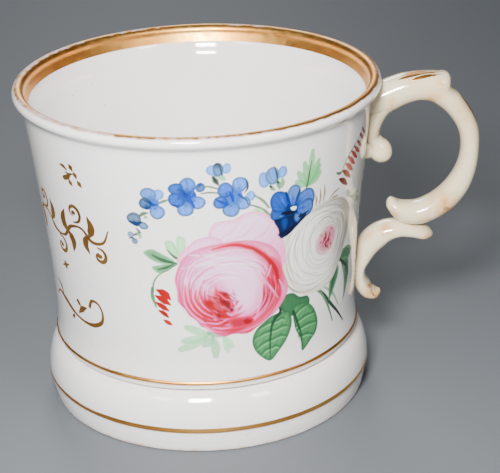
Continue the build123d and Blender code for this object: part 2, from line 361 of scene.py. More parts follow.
# %% Scroll sweep
def scroll_points(stations, share, angle, lift=0.0, squareness=2.25):
    """Points on a section carried along a line in the XZ plane.

    A station is (x, z, thickness to the left of the line, thickness to the right, half width).
    The section is a superellipse: |u / thickness|^p + |v / half width|^p = 1. Both ends are
    rounded like a ball: the section shrinks as the square root of 1 - (1 - distance / radius)^2.
    Share runs from 0 to 1 along the line; the angle runs round the section, from its +Y side.
    """
    stations = np.asarray(stations, float)
    steps = np.linalg.norm(np.diff(stations[:, :2], axis=0), axis=1)
    knots = np.concatenate([[0], np.cumsum(steps)])
    where = knots[-1] * share
    x, z, left, right, half = (smooth_through(knots, stations[:, k], where) for k in range(5))
    ahead = [smooth_through(knots, stations[:, k], where + 0.05) for k in range(2)]
    behind = [smooth_through(knots, stations[:, k], where - 0.05) for k in range(2)]
    run_x, run_z = ahead[0] - behind[0], ahead[1] - behind[1]
    length = np.hypot(run_x, run_z)
    run_x, run_z = run_x / length, run_z / length
    start = np.clip(where / stations[0, 4], 0, 1)
    stop = np.clip((knots[-1] - where) / stations[-1, 4], 0, 1)
    shrink = np.sqrt(np.clip(1 - (1 - start) ** 2, 0, 1)) * np.sqrt(np.clip(1 - (1 - stop) ** 2, 0, 1))
    across = np.sign(np.sin(angle)) * np.abs(np.sin(angle)) ** (2 / squareness)
    sideways = np.sign(np.cos(angle)) * np.abs(np.cos(angle)) ** (2 / squareness)
    reach = (np.where(across > 0, left, right) + lift) * across * shrink
    width = (half + lift) * sideways * shrink
    return np.stack([x - run_z * reach, width + 0 * reach, z + run_x * reach], axis=-1)


def scroll_grid(stations, rows, columns, squareness=2.25):
    """The whole scroll as a grid: rows along its line, columns round its section."""
    ease = np.linspace(0, 1, rows)
    share = (ease - 0.12 * np.sin(2 * np.pi * ease) / (2 * np.pi))[:, None]
    angle = np.linspace(0, 2 * np.pi, columns, endpoint=False)[None, :]
    return scroll_points(stations, share, angle, 0.0, squareness)


# %% C-scroll, with its knuckle and curl
loop_stations = [
    (44.8, 82.0, 4.7, 5.4, 6.0),
    (47.8, 82.9, 4.5, 5.0, 5.3),
    (52.0, 84.6, 4.4, 4.4, 4.9),
    (56.0, 86.2, 4.2, 4.1, 4.7),
    (60.0, 87.0, 3.9, 4.0, 4.6),
    (63.2, 86.6, 4.5, 3.8, 4.5),
    (65.2, 85.7, 5.4, 3.6, 4.4),
    (66.5, 84.7, 3.4, 3.4, 4.3),
    (69.2, 82.2, 2.9, 3.1, 4.2),
    (72.0, 78.4, 2.8, 2.9, 4.1),
    (73.75, 74.0, 2.8, 2.7, 4.1),
    (74.2, 69.0, 2.6, 2.6, 4.1),
    (73.6, 64.0, 2.7, 2.8, 4.1),
    (71.6, 58.8, 3.1, 3.2, 4.2),
    (68.4, 54.6, 3.4, 3.4, 4.3),
    (64.4, 51.6, 3.5, 3.4, 4.3),
    (60.3, 50.1, 3.5, 3.2, 4.3),
    (56.4, 50.5, 3.3, 2.7, 4.0),
    (53.6, 52.2, 2.2, 1.7, 3.2),
    (52.2, 54.3, 1.5, 1.2, 2.0),
]
loop_skin = closed_surface("loop_skin", scroll_grid(loop_stations, 420, 72))
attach(loop_skin, "root")
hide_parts("handle_loop")
print("loop reach", round(max(v.co.x for v in loop_skin.data.vertices) / MM, 2), "CAD",
      round(loop_high[0] / MM, 2))

# %% S-scroll bracket under the loop
bracket_stations = [
    (64.6, 43.0, 1.5, 1.5, 3.3),
    (62.0, 43.7, 1.8, 1.8, 3.7),
    (58.5, 44.5, 1.8, 2.1, 3.9),
    (55.0, 44.8, 2.0, 2.8, 4.0),
    (51.8, 43.8, 2.2, 3.7, 4.1),
    (49.2, 42.0, 2.5, 4.2, 4.2),
    (47.0, 39.8, 2.5, 4.0, 4.2),
    (45.4, 36.6, 1.9, 2.8, 4.2),
    (44.4, 33.5, 1.3, 2.4, 4.1),
    (44.3, 30.3, 1.6, 2.2, 4.0),
    (45.0, 27.6, 2.1, 2.2, 3.9),
    (46.6, 25.6, 1.8, 1.9, 3.6),
    (48.6, 25.2, 1.3, 1.3, 3.0),
    (49.9, 25.9, 0.9, 0.9, 2.0),
]
bracket_skin = closed_surface("bracket_skin", scroll_grid(bracket_stations, 260, 64))
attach(bracket_skin, "root")
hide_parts("handle_bracket")

# %% Strap and ball drop
drop_stations = [
    (53.4, 85.2, 2.6, 4.0, 4.4),
    (51.2, 82.4, 2.5, 3.6, 4.5),
    (49.3, 79.6, 2.3, 3.0, 4.3),
    (48.3, 76.8, 2.0, 2.5, 3.9),
    (47.7, 74.4, 1.9, 2.2, 3.3),
    (47.7, 72.4, 1.9, 2.0, 2.8),
    (48.6, 70.8, 2.3, 2.3, 2.8),
    (49.5, 69.2, 3.1, 3.1, 3.2),
    (49.8, 67.6, 3.3, 3.3, 3.3),
    (49.8, 65.0, 3.3, 3.3, 3.3),
]
drop_skin = closed_surface("drop_skin", scroll_grid(drop_stations, 160, 56, squareness=2.0))
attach(drop_skin, "root")
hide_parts("handle_drop")
peg_stations = [
    (43.5, 69.0, 3.6, 4.0, 3.8),
    (45.6, 68.9, 3.0, 3.3, 3.2),
    (46.8, 68.7, 2.3, 2.5, 2.5),
    (48.4, 68.6, 2.1, 2.2, 2.2),
    (50.0, 68.2, 2.0, 2.0, 2.0),
]
peg_skin = closed_surface("drop_peg_skin", scroll_grid(peg_stations, 60, 48, squareness=2.0))
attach(peg_skin, "root")

# %% [markdown]
# ## Glaze, wear and gilding
# Three effects are used by more than one material, so each is a node group with named sockets.
# The glaze group gives a white that drifts a little, with fine specks and a faint orange-peel
# height. The stain group lets tea-coloured stain creep into places that the mesh marks. The
# gilding group turns a mark for wear into a ragged mask: gold where it is whole, bare where rubbed.

# %% Node-group helpers
def effect_group(name, inputs, outputs):
    """An empty node group with named sockets, and its two end nodes."""
    group = bpy.data.node_groups.new(name, "ShaderNodeTree")
    for socket_name, kind, default in inputs:
        socket = group.interface.new_socket(socket_name, in_out="INPUT", socket_type=kind)
        socket.default_value = default
    for socket_name, kind in outputs:
        group.interface.new_socket(socket_name, in_out="OUTPUT", socket_type=kind)
    return group, group.nodes.new("NodeGroupInput"), group.nodes.new("NodeGroupOutput")


def noise_node(tree, vector, scale, detail=3.0, roughness=0.5):
    """A noise texture read at a vector."""
    node = tree.nodes.new("ShaderNodeTexNoise")
    node.inputs["Scale"].default_value = scale
    node.inputs["Detail"].default_value = detail
    node.inputs["Roughness"].default_value = roughness
    tree.links.new(vector, node.inputs["Vector"])
    return node.outputs["Fac"]


def remap_node(tree, value, low, high, to_low=0.0, to_high=1.0):
    """A value moved from one range to another, and held at the ends."""
    node = tree.nodes.new("ShaderNodeMapRange")
    node.interpolation_type = "SMOOTHSTEP"
    node.inputs["From Min"].default_value = low
    node.inputs["From Max"].default_value = high
    node.inputs["To Min"].default_value = to_low
    node.inputs["To Max"].default_value = to_high
    tree.links.new(value, node.inputs["Value"])
    return node.outputs["Result"]


def mix_node(tree, factor, first, second):
    """Two colours mixed by a factor; each may be a socket or a plain colour."""
    node = tree.nodes.new("ShaderNodeMix")
    node.data_type = "RGBA"
    for socket, source in ((node.inputs[0], factor), (node.inputs[6], first), (node.inputs[7], second)):
        if isinstance(source, (tuple, float)):
            socket.default_value = source
        else:
            tree.links.new(source, socket)
    return node.outputs[2]


def math_node(tree, operation, first, second):
    """Two values joined by an operation; each may be a socket or a number."""
    node = tree.nodes.new("ShaderNodeMath")
    node.operation = operation
    for socket, source in ((node.inputs[0], first), (node.inputs[1], second)):
        if isinstance(source, (int, float)):
            socket.default_value = source
        else:
            tree.links.new(source, socket)
    return node.outputs[0]


def attribute_node(tree, name):
    """A value or colour that the mesh carries."""
    node = tree.nodes.new("ShaderNodeAttribute")
    node.attribute_name = name
    return node


# %% The three effects
glaze_group, glaze_in, glaze_out = effect_group(
    "glaze_surface",
    [("Body", "NodeSocketColor", (0.85, 0.84, 0.83, 1)), ("Drift", "NodeSocketColor", (0.80, 0.77, 0.72, 1)),
     ("Speck", "NodeSocketFloat", 0.5)],
    [("Color", "NodeSocketColor"), ("Roughness", "NodeSocketFloat"), ("Height", "NodeSocketFloat")],
)
where = glaze_group.nodes.new("ShaderNodeTexCoord").outputs["Object"]
slow = remap_node(glaze_group, noise_node(glaze_group, where, 34, 3), 0.40, 0.72, 0.0, 0.55)
drifted = mix_node(glaze_group, slow, glaze_in.outputs["Body"], glaze_in.outputs["Drift"])
speck = remap_node(glaze_group, noise_node(glaze_group, where, 950, 2), 0.715, 0.76)
patchy = remap_node(glaze_group, noise_node(glaze_group, where, 60, 2), 0.45, 0.65)
speck = math_node(glaze_group, "MULTIPLY", math_node(glaze_group, "MULTIPLY", speck, patchy),
                  glaze_in.outputs["Speck"])
specked = mix_node(glaze_group, speck, drifted, (0.26, 0.20, 0.15, 1))
glaze_group.links.new(specked, glaze_out.inputs["Color"])
smear = remap_node(glaze_group, noise_node(glaze_group, where, 90, 3), 0.3, 0.75, 0.07, 0.17)
glaze_group.links.new(smear, glaze_out.inputs["Roughness"])
glaze_group.links.new(noise_node(glaze_group, where, 150, 2, 0.4), glaze_out.inputs["Height"])

stain_group, stain_in, stain_out = effect_group(
    "amber_stain",
    [("Color", "NodeSocketColor", (0.8, 0.8, 0.8, 1)), ("Amount", "NodeSocketFloat", 0.0)],
    [("Color", "NodeSocketColor")],
)
where = stain_group.nodes.new("ShaderNodeTexCoord").outputs["Object"]
ragged = noise_node(stain_group, where, 260, 5, 0.62)
ragged_edge = remap_node(stain_group, ragged, 0.30, 0.62, 0.25, 1.15)
edge = math_node(stain_group, "MULTIPLY", stain_in.outputs["Amount"], ragged_edge)
light_stain = mix_node(stain_group, remap_node(stain_group, edge, 0.02, 0.75, 0.0, 0.80),
                       stain_in.outputs["Color"], (0.62, 0.33, 0.12, 1))
deep_stain = mix_node(stain_group, remap_node(stain_group, edge, 0.62, 1.0), light_stain,
                      (0.20, 0.075, 0.02, 1))
stain_group.links.new(deep_stain, stain_out.inputs["Color"])

gilt_group, gilt_in, gilt_out = effect_group(
    "worn_gilding",
    [("Ground", "NodeSocketColor", (0.8, 0.8, 0.8, 1)), ("Wear", "NodeSocketFloat", 0.0)],
    [("Color", "NodeSocketColor"), ("Gold", "NodeSocketFloat"), ("Roughness", "NodeSocketFloat"),
     ("Height", "NodeSocketFloat")],
)
where = gilt_group.nodes.new("ShaderNodeTexCoord").outputs["Object"]
grain = noise_node(gilt_group, where, 420, 6, 0.66)
broad = noise_node(gilt_group, where, 70, 3)
rubbed = math_node(gilt_group, "ADD", math_node(gilt_group, "MULTIPLY", grain, 0.7),
                   math_node(gilt_group, "MULTIPLY", broad, 0.45))
whole = math_node(gilt_group, "SUBTRACT", math_node(gilt_group, "ADD", rubbed, 0.22), gilt_in.outputs["Wear"])
gold = remap_node(gilt_group, whole, -0.04, 0.10)
tarnish = remap_node(gilt_group, broad, 0.35, 0.70)
gold_colour = mix_node(gilt_group, tarnish, (0.66, 0.29, 0.065, 1), (0.80, 0.43, 0.11, 1))
residue = mix_node(gilt_group, 0.72, gilt_in.outputs["Ground"], (0.34, 0.15, 0.12, 1))
bare = mix_node(gilt_group, remap_node(gilt_group, whole, -0.42, 0.0), gilt_in.outputs["Ground"], residue)
gilt_group.links.new(mix_node(gilt_group, gold, bare, gold_colour), gilt_out.inputs["Color"])
gilt_group.links.new(gold, gilt_out.inputs["Gold"])
gilt_group.links.new(remap_node(gilt_group, grain, 0.3, 0.7, 0.34, 0.50), gilt_out.inputs["Roughness"])
gilt_group.links.new(grain, gilt_out.inputs["Height"])

# %% [markdown]
# Each material keeps its own Principled shader. Porcelain is a bright base under a clear coat; the
# handle's glaze is warmer because it pooled thicker, and darker as painted shade; the gilding switches from
# bare glaze to metal.

# %% Materials
def group_node(tree, group):
    """One use of a shared effect."""
    node = tree.nodes.new("ShaderNodeGroup")
    node.node_tree = group
    return node


def ground_nodes(tree, body, drift, speck):
    """The glaze, with the mesh's stain marks laid over it: a colour and the glaze node."""
    glaze = group_node(tree, glaze_group)
    glaze.inputs["Body"].default_value = (*body, 1)
    glaze.inputs["Drift"].default_value = (*drift, 1)
    glaze.inputs["Speck"].default_value = speck
    stain = group_node(tree, stain_group)
    tree.links.new(glaze.outputs["Color"], stain.inputs["Color"])
    tree.links.new(attribute_node(tree, "stain").outputs["Fac"], stain.inputs["Amount"])
    return stain.outputs["Color"], glaze


def new_material(name):
    """A material, its tree and its Principled shader."""
    material = bpy.data.materials.new(name)
    material.use_nodes = True
    return material, material.node_tree, material.node_tree.nodes["Principled BSDF"]


def bump_into(tree, shader, height, distance, strength):
    """A height turned into small changes of the normal."""
    bump = tree.nodes.new("ShaderNodeBump")
    bump.inputs["Distance"].default_value = distance
    bump.inputs["Strength"].default_value = strength
    tree.links.new(height, bump.inputs["Height"])
    tree.links.new(bump.outputs["Normal"], shader.inputs["Normal"])


# The handle's cream is partly its own warmer colour and partly painted shade: it is darker than the glaze
# alone, standing in for the shade on the handle.
white_body, white_drift = (0.860, 0.840, 0.835), (0.820, 0.785, 0.745)
cream_and_painted_shade_body, cream_and_painted_shade_drift = (0.720, 0.625, 0.430), (0.680, 0.540, 0.300)


def glazed_material(name, body, drift, speck):
    """Clear glaze over a fired body."""
    material, tree, shader = new_material(name)
    colour, glaze = ground_nodes(tree, body, drift, speck)
    tree.links.new(colour, shader.inputs["Base Color"])
    tree.links.new(glaze.outputs["Roughness"], shader.inputs["Roughness"])
    shader.inputs["Coat Weight"].default_value = 0.6
    shader.inputs["Coat Roughness"].default_value = 0.04
    bump_into(tree, shader, glaze.outputs["Height"], 0.0002, 0.12)
    return material


def gilt_material(name, body, drift):
    """Fired gold over the same glaze, worn through where the mesh says so."""
    material, tree, shader = new_material(name)
    colour, _ = ground_nodes(tree, body, drift, 0.4)
    gilt = group_node(tree, gilt_group)
    tree.links.new(colour, gilt.inputs["Ground"])
    tree.links.new(attribute_node(tree, "wear").outputs["Fac"], gilt.inputs["Wear"])
    tree.links.new(gilt.outputs["Color"], shader.inputs["Base Color"])
    tree.links.new(gilt.outputs["Gold"], shader.inputs["Metallic"])
    tree.links.new(gilt.outputs["Roughness"], shader.inputs["Roughness"])
    bump_into(tree, shader, gilt.outputs["Height"], 0.00005, 0.10)
    return material


porcelain = glazed_material("porcelain_glaze", white_body, white_drift, 0.55)
shaded_handle_porcelain = glazed_material("handle_glaze", cream_and_painted_shade_body, cream_and_painted_shade_drift, 0.7)
gilding = gilt_material("gilding", white_body, white_drift)
handle_gilding = gilt_material("handle_gilding", cream_and_painted_shade_body, cream_and_painted_shade_drift)


def mark(piece, name, values):
    """A value for each vertex of a piece, for its material to read."""
    attribute = piece.data.attributes.new(name, "FLOAT", "POINT")
    attribute.data.foreach_set("value", np.asarray(values, np.float32))


def vertex_places(piece):
    """The vertices of a piece in millimetres, as an array."""
    places = np.empty(3 * len(piece.data.vertices), np.float32)
    piece.data.vertices.foreach_get("co", places)
    return places.reshape(-1, 3) / MM


def soft_spots(places, spots):
    """A sum of soft balls: each spot is (x, y, z, radius, strength), and fades as exp(-(d / r)^2)."""
    total = np.zeros(len(places))
    for x, y, z, radius, strength in spots:
        away = np.linalg.norm(places - np.array([x, y, z]), axis=1) / radius
        total += strength * np.exp(-away ** 2)
    return np.clip(total, 0, 1)


# %% [markdown]
# Soap, water and handling stain a glaze where it's thin or hard to wipe: in the handle's hollows,
# over the lip and along the foot's edges. A stain could be painted on a texture, but a soft ball
# at a chosen place needs no texture map. Each piece carries the sum of its balls as a mark on its
# vertices, and the noise in the stain group makes their edges ragged.

# %% Dress the ceramic
handle_stains = [
    (67.8, -3.5, 53.0, 5.0, 0.50), (61.5, -3.8, 47.2, 3.2, 0.30), (64.0, -3.4, 41.8, 2.6, 0.60),
    (49.6, -2.0, 26.6, 1.7, 1.60), (47.4, -2.4, 27.6, 2.0, 0.85), (46.8, -3.0, 24.0, 2.6, 0.35),
    (52.8, -3.8, 83.6, 2.6, 0.35), (63.8, -3.6, 83.4, 2.8, 0.55), (58.0, -3.6, 88.8, 2.0, 0.25),
    (50.6, -3.8, 46.4, 2.6, 0.45), (72.4, -3.6, 80.2, 3.0, 0.30), (66.0, -3.4, 88.6, 2.0, 0.35),
    (50.2, 0.0, 71.0, 1.8, 0.40), (53.6, -3.0, 50.8, 1.8, 0.40), (45.4, -3.6, 44.6, 2.2, 0.45),
]
for piece in (loop_skin, bracket_skin, drop_skin, peg_skin):
    piece.data.materials.append(shaded_handle_porcelain)
    mark(piece, "stain", np.clip(1.5 * soft_spots(vertex_places(piece), handle_stains), 0, 1))
cup_places = vertex_places(cup_skin)
lip_rubbing = np.clip((cup_places[:, 2] - (mug_height - 1.3)) / 1.2, 0, 1)
cup_skin.data.materials.append(porcelain)
mark(cup_skin, "stain", 0.30 * lip_rubbing)
foot_places = vertex_places(foot_skin)
foot_heights = foot_places[:, 2]
foot_grime = np.exp(-((foot_heights - 0.5) / 0.9) ** 2)
foot_grime = foot_grime + 0.5 * np.exp(-((foot_heights - 16.6) / 0.5) ** 2)
foot_skin.data.materials.append(porcelain)
mark(foot_skin, "stain", np.clip(0.42 * foot_grime, 0, 1))

# %% [markdown]
# ## Gilt lines
# Liquid gold was banded on with the mug turning on a wheel, then fired and burnished. Each band is
# a closed skin: its outer face follows the ceramic's profile a few hundredths of a millimetre up,
# and its back is buried in the wall.

# %% Gilt bands
def coat_ring(name, path, lift=0.045, sink=0.15):
    """A thin ring along a profile path that runs up the outside, over, and down the inside."""
    run = np.gradient(path, axis=0)
    run /= np.linalg.norm(run, axis=1)[:, None]
    outward = np.stack([run[:, 1], -run[:, 0]], axis=-1)
    share = np.linspace(0, 1, len(path))
    raised = np.minimum(1, 9 * np.minimum(share, 1 - share))
    front = path + outward * (lift * raised - 0.03 * (1 - raised))[:, None]
    back = path - outward * sink
    return ring_surface(name, spin(np.concatenate([front, back[::-1]]), lathe_columns)), len(front)


rim_path = np.concatenate([
    arc(lip_centre, lip_bead, 36, 186, 66),
    curve_through(lip_inside, 16),
])
waist_path = np.concatenate([arc((42.72, 19.72), 0.48, -66, 56, 20), [(42.96, 20.35), (42.94, 20.6)]])
foot_path = np.concatenate([
    [(45.79, 6.1), (45.83, 6.35)],
    arc((foot_radius - 0.55, 6.95), 0.5, -45, 15, 10),
    [(foot_radius - 0.06, 7.4), (foot_radius - 0.08, 7.8), (foot_radius - 0.11, 8.1)],
])
rim_gilt, _ = coat_ring("rim_gilt_skin", rim_path)
waist_gilt, waist_rows = coat_ring("waist_gilt_skin", waist_path)
foot_gilt, foot_rows = coat_ring("foot_gilt_skin", foot_path)
for skin, node in ((rim_gilt, "rim_gilt_band"), (waist_gilt, "waist_gilt_line"),
                   (foot_gilt, "foot_gilt_line")):
    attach(skin, "root")
    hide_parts(node)
    skin.data.materials.append(gilding)

# %% [markdown]
# Gold is rubbed off first where hands and cloths reach it, over the lip's crest, and last in the
# sheltered band inside. So the wear follows the angle round the lip's section, where 0 degrees
# points outward and 90 points up, and a stretch at the front right is kept fresher. The two lines
# lower down fray at their edges, because the brush left less gold there.

# %% Where hands and years have rubbed the gold
rim_places = vertex_places(rim_gilt)
rim_out = np.hypot(rim_places[:, 0], rim_places[:, 1]) - lip_centre[0]
rim_section = np.degrees(np.arctan2(rim_places[:, 2] - lip_centre[1], rim_out))
rim_section = np.where(rim_section < -90, rim_section + 360, rim_section)
rim_azimuth = np.degrees(np.arctan2(rim_places[:, 1], rim_places[:, 0]))
kept_front = np.exp(-((rim_azimuth + 38) / 34) ** 2)
rub = np.interp(rim_section, [36, 48, 62, 100, 118, 130, 142, 200],
                [1.35, 1.02, 0.82, 0.73, 0.73, 0.58, 0.10, 0.05])
rub -= kept_front * np.interp(rim_section, [44, 62, 100, 140], [0.0, 0.24, 0.30, 0.10])
low_edge = np.clip((86.9 - rim_places[:, 2]) / 0.9, 0, 1)
mark(rim_gilt, "wear", np.clip(rub + 0.35 * low_edge, 0, 1.6))
for skin, rows in ((waist_gilt, waist_rows), (foot_gilt, foot_rows)):
    count = len(skin.data.vertices) // lathe_columns
    share = np.clip(np.arange(count) / (rows - 1), 0, 1)
    fray = 0.22 + 0.75 * np.abs(2 * share - 1) ** 3
    turned = np.arctan2(vertex_places(skin)[:, 1], vertex_places(skin)[:, 0])
    patches = 0.10 * np.sin(5 * turned + 1.3) + 0.08 * np.sin(13 * turned)
    mark(skin, "wear", np.repeat(fray, lathe_columns) + patches)

# %% [markdown]
# Three gilt leaf strokes lie on the arm and one runs down the outside of the loop. A stroke is a
# pointed leaf drawn on the scroll's own surface: a line along the scroll and an angle round it.

# %% Gilt strokes on the handle
def scroll_stroke(name, stations, run, angles, half_angle, rows=48, columns=9):
    """A leaf-shaped skin on a scroll: run is its start and end share, angles its start and end angle."""
    along = np.linspace(0, 1, rows)[:, None]
    across = np.linspace(-1, 1, columns)[None, :]
    leaf = np.sin(np.pi * along ** 0.8) ** 0.8
    share = run[0] + (run[1] - run[0]) * along + 0 * across
    angle = np.radians(angles[0] + (angles[1] - angles[0]) * along + half_angle * leaf * across)
    lift = 0.05 * (1 - across ** 4) * np.minimum(1, 8 * leaf) - 0.02
    return build_mesh(name, scroll_points(stations, share, angle, lift).reshape(-1, 3),
                      grid_faces(rows, columns, False))


arm_strokes = [
    ((0.148, 0.268), (122, 94), 10), ((0.188, 0.268), (136, 110), 10), ((0.160, 0.240), (102, 86), 8),
    ((0.350, 0.460), (98, 110), 10),
]
for number, (run, angles, half_angle) in enumerate(arm_strokes):
    stroke = scroll_stroke("arm_gilt_stroke_%d" % (number + 1), loop_stations, run, angles, half_angle)
    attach(stroke, "root")
    stroke.data.materials.append(handle_gilding)
    mark(stroke, "wear", np.full(len(stroke.data.vertices), 0.66))

# %% [markdown]
# ## Painting on the wall
# The spray was painted with enamel colours over the glaze, one loaded brush stroke at a time. The
# canvas here is a fine grid on the wall, with the azimuth across and the height up. Each stroke
# lays its own colour over what is there already. At the end the canvas is cut by owner: every
# motif becomes its own thin skin, and neighbouring motifs meet without a gap.

# %% Canvas
def seen(red, green, blue):
    """The surface colour that looks like this display colour when the white glaze looks white.

    A camera-like view transform squeezes the bright tones. The formula undoes that squeeze for
    each channel: light = 0.208 * d^1.20 / (0.987 - d)^1.22, and the white glaze sits at 2.6.
    The strongest channel of a vivid colour is held back, because the transform keeps it from
    clipping, and the whole colour is pushed a little away from grey. Reds would turn towards
    orange, so they get more blue and less green.
    """
    display = np.array([red, green, blue], float) / 255
    light = 0.208 * display ** 1.20 / (0.987 - display) ** 1.22
    vivid = 1 - light.min() / light.max()
    light = np.where(light == light.max(), light * (1 - 0.28 * vivid), light)
    light = light.mean() + 1.15 * (light - light.mean())
    redness = np.clip(1 - np.maximum(light[1], light[2]) / light[0], 0, 1)
    light = light * (1, 1 - 0.25 * redness, 1 + 0.30 * redness)
    return np.clip(light * 0.86 / 2.6, 0.001, 0.86)


class Canvas:
    """A grid of colour and cover over a window of the wall, in degrees and millimetres."""

    def __init__(self, azimuths, heights, pitch):
        self.scale = math.radians(1) * 44.6
        columns = int((azimuths[1] - azimuths[0]) * self.scale / pitch) + 1
        rows = int((heights[1] - heights[0]) / pitch) + 1
        self.azimuth = np.linspace(azimuths[0], azimuths[1], columns)
        self.height = np.linspace(heights[0], heights[1], rows)
        self.colour = np.zeros((rows, columns, 3))
        self.cover = np.zeros((rows, columns))
        self.owner = np.zeros((rows, columns), int)
        self.motif = 0
        self.random = np.random.default_rng(7)

    def window(self, low, high):
        """The part of the grid inside a box, as slices and flat coordinates in millimetres."""
        across = np.searchsorted(self.azimuth, [low[0] / self.scale, high[0] / self.scale])
        up = np.searchsorted(self.height, [low[1], high[1]])
        part = (slice(up[0], up[1]), slice(across[0], across[1]))
        s, h = np.meshgrid(self.azimuth[part[1]] * self.scale, self.height[part[0]])
        return part, s, h

    def lay(self, part, colour, cover):
        """Composites a colour over the canvas, and takes ownership where it's the main colour."""
        under = self.cover[part]
        total = cover + under * (1 - cover)
        share = cover / np.maximum(total, 1e-6)
        self.colour[part] = colour * share[..., None] + self.colour[part] * (1 - share[..., None])
        self.cover[part] = total
        taken = (cover > 0.45) | ((cover > 0.004) & (self.owner[part] == 0))
        self.owner[part] = np.where(taken, self.motif, self.owner[part])

    def stroke(self, path, width, colours, soft=0.22, hair=0.10, cover=1.0, rim=0.0):
        """A brush stroke: a smooth line through the path, whose half width follows a profile.

        Colours run from the first to the last along the stroke. Hair is the strength of the
        brush's streaks, and rim darkens the outside like pooled paint.
        """
        path = np.asarray(path, float) * [self.scale, 1]
        steps = np.concatenate([[0], np.cumsum(np.linalg.norm(np.diff(path, axis=0), axis=1))])
        count = max(8, int(steps[-1] / 0.5))
        where = np.linspace(0, steps[-1], count)
        line = np.stack([smooth_through(steps, path[:, k], where) for k in range(2)], axis=-1)
        widest = float(np.max(width))
        part, s, h = self.window(line.min(axis=0) - widest - soft, line.max(axis=0) + widest + soft)
        if s.size == 0:
            return
        best = np.full(s.shape, 1e9)
        along = np.zeros(s.shape)
        side = np.zeros(s.shape)
        for number in range(count - 1):
            start, run = line[number], line[number + 1] - line[number]
            reach = max(float(run @ run), 1e-12)
            t = np.clip(((s - start[0]) * run[0] + (h - start[1]) * run[1]) / reach, 0, 1)
            away_s, away_h = s - start[0] - t * run[0], h - start[1] - t * run[1]
            away = np.hypot(away_s, away_h)
            nearer = away < best
            best = np.where(nearer, away, best)
            along = np.where(nearer, (number + t) / (count - 1), along)
            side = np.where(nearer, np.sign(run[0] * away_h - run[1] * away_s) * away, side)
        half = np.interp(along, np.linspace(0, 1, len(width)), width)
        edge = np.clip((half + 0.5 * soft - best) / soft, 0, 1)
        edge = edge * edge * (3 - 2 * edge)
        stops = np.linspace(0, 1, len(colours))
        colour = np.stack([np.interp(along, stops, [c[k] for c in colours]) for k in range(3)], axis=-1)
        phase = self.random.uniform(0, 40)
        streak = np.sin(side * 9.0 + phase) * 0.6 + np.sin(side * 21.0 + 2 * phase + 2.5 * along) * 0.4
        tone = 1 + hair * streak - rim * np.clip(best / np.maximum(half, 1e-3), 0, 1) ** 3
        self.lay(part, np.clip(colour * tone[..., None], 0, 1), cover * edge)

    def patch(self, outline, inner, outer, depth=1.5, ramp=None, soft=0.22, cover=1.0, hair=0.05, heading=90):
        """A filled shape: outer colour at its edge, inner colour deeper than depth.

        A ramp ((s, h), (s, h), colour) blends to another colour from the first place to the
        second. Hair adds streaks that run along a heading in degrees.
        """
        outline = np.asarray(outline, float) * [self.scale, 1]
        closed = np.concatenate([outline[-1:], outline, outline[:2]])
        steps = np.concatenate([[0], np.cumsum(np.linalg.norm(np.diff(closed, axis=0), axis=1))])
        count = max(24, int((steps[-2] - steps[1]) / 0.7))
        where = np.linspace(steps[1], steps[-2], count, endpoint=False)
        line = np.stack([smooth_through(steps, closed[:, k], where) for k in range(2)], axis=-1)
        part, s, h = self.window(line.min(axis=0) - soft, line.max(axis=0) + soft)
        best = np.full(s.shape, 1e9)
        inside = np.zeros(s.shape, bool)
        for number in range(count):
            start, stop = line[number], line[(number + 1) % count]
            run = stop - start
            t = np.clip(((s - start[0]) * run[0] + (h - start[1]) * run[1]) / max(float(run @ run), 1e-12),
                        0, 1)
            best = np.minimum(best, np.hypot(s - start[0] - t * run[0], h - start[1] - t * run[1]))
            spans = (start[1] > h) != (stop[1] > h)
            cross = start[0] + (h - start[1]) * run[0] / (run[1] if abs(run[1]) > 1e-12 else 1e-12)
            inside ^= spans & (s < cross)
        deep = np.where(inside, best, -best)
        edge = np.clip(deep / soft + 0.5, 0, 1)
        edge = edge * edge * (3 - 2 * edge)
        blend = np.clip(deep / depth, 0, 1)[..., None]
        colour = np.asarray(outer) * (1 - blend) + np.asarray(inner) * blend
        if ramp is not None:
            start = np.array(ramp[0], float) * [self.scale, 1]
            run = np.array(ramp[1], float) * [self.scale, 1] - start
            t = np.clip(((s - start[0]) * run[0] + (h - start[1]) * run[1]) / (run @ run), 0, 1)
            t = (t * t * (3 - 2 * t))[..., None]
            colour = colour * (1 - t) + np.asarray(ramp[2]) * t
        turn = math.radians(heading)
        side = s * math.sin(turn) - h * math.cos(turn)
        phase = self.random.uniform(0, 40)
        streak = np.sin(side * 4.3 + phase + 0.8 * np.sin(h * 0.9)) * 0.6
        streak = streak + np.sin(side * 11.0 + 2 * phase) * 0.4
        self.lay(part, np.clip(colour * (1 + hair * streak)[..., None], 0, 1), cover * edge)


def enamel_skin(canvas, motif, name):
    """Cuts one motif out of the canvas as a thin skin on the wall that carries its paint."""
    rows, columns = canvas.cover.shape
    quads = grid_faces(rows, columns, False)
    owners = canvas.owner.ravel()[quads]
    kept = (owners.max(axis=1) == motif) & (canvas.cover.ravel()[quads].max(axis=1) > 0.004)
    quads = quads[kept]
    used, packed = np.unique(quads, return_inverse=True)
    quads = packed.reshape(-1, 4)
    row, column = used // columns, used % columns
    cover = canvas.cover.ravel()[used]
    height = canvas.height[row]
    turn = np.radians(canvas.azimuth[column])
    raised = np.clip(cover * 4, 0, 1)
    radius = wall_radius(height) - 0.008 + 0.034 * raised * raised * (3 - 2 * raised)
    points = np.stack([radius * np.cos(turn), radius * np.sin(turn), height], axis=-1)
    skin = build_mesh(name, points, quads)
    paint = skin.data.attributes.new("paint", "FLOAT_COLOR", "POINT")
    colour = canvas.colour.reshape(-1, 3)[used]
    tints = np.concatenate([colour, cover[:, None]], axis=1)
    paint.data.foreach_set("color", tints.astype(np.float32).ravel())
    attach(skin, "root")
    print(name, len(quads), "faces")
    return skin


spray = Canvas((-112.5, -13.5), (23.0, 84.6), 0.13)
brush = np.random.default_rng(23)


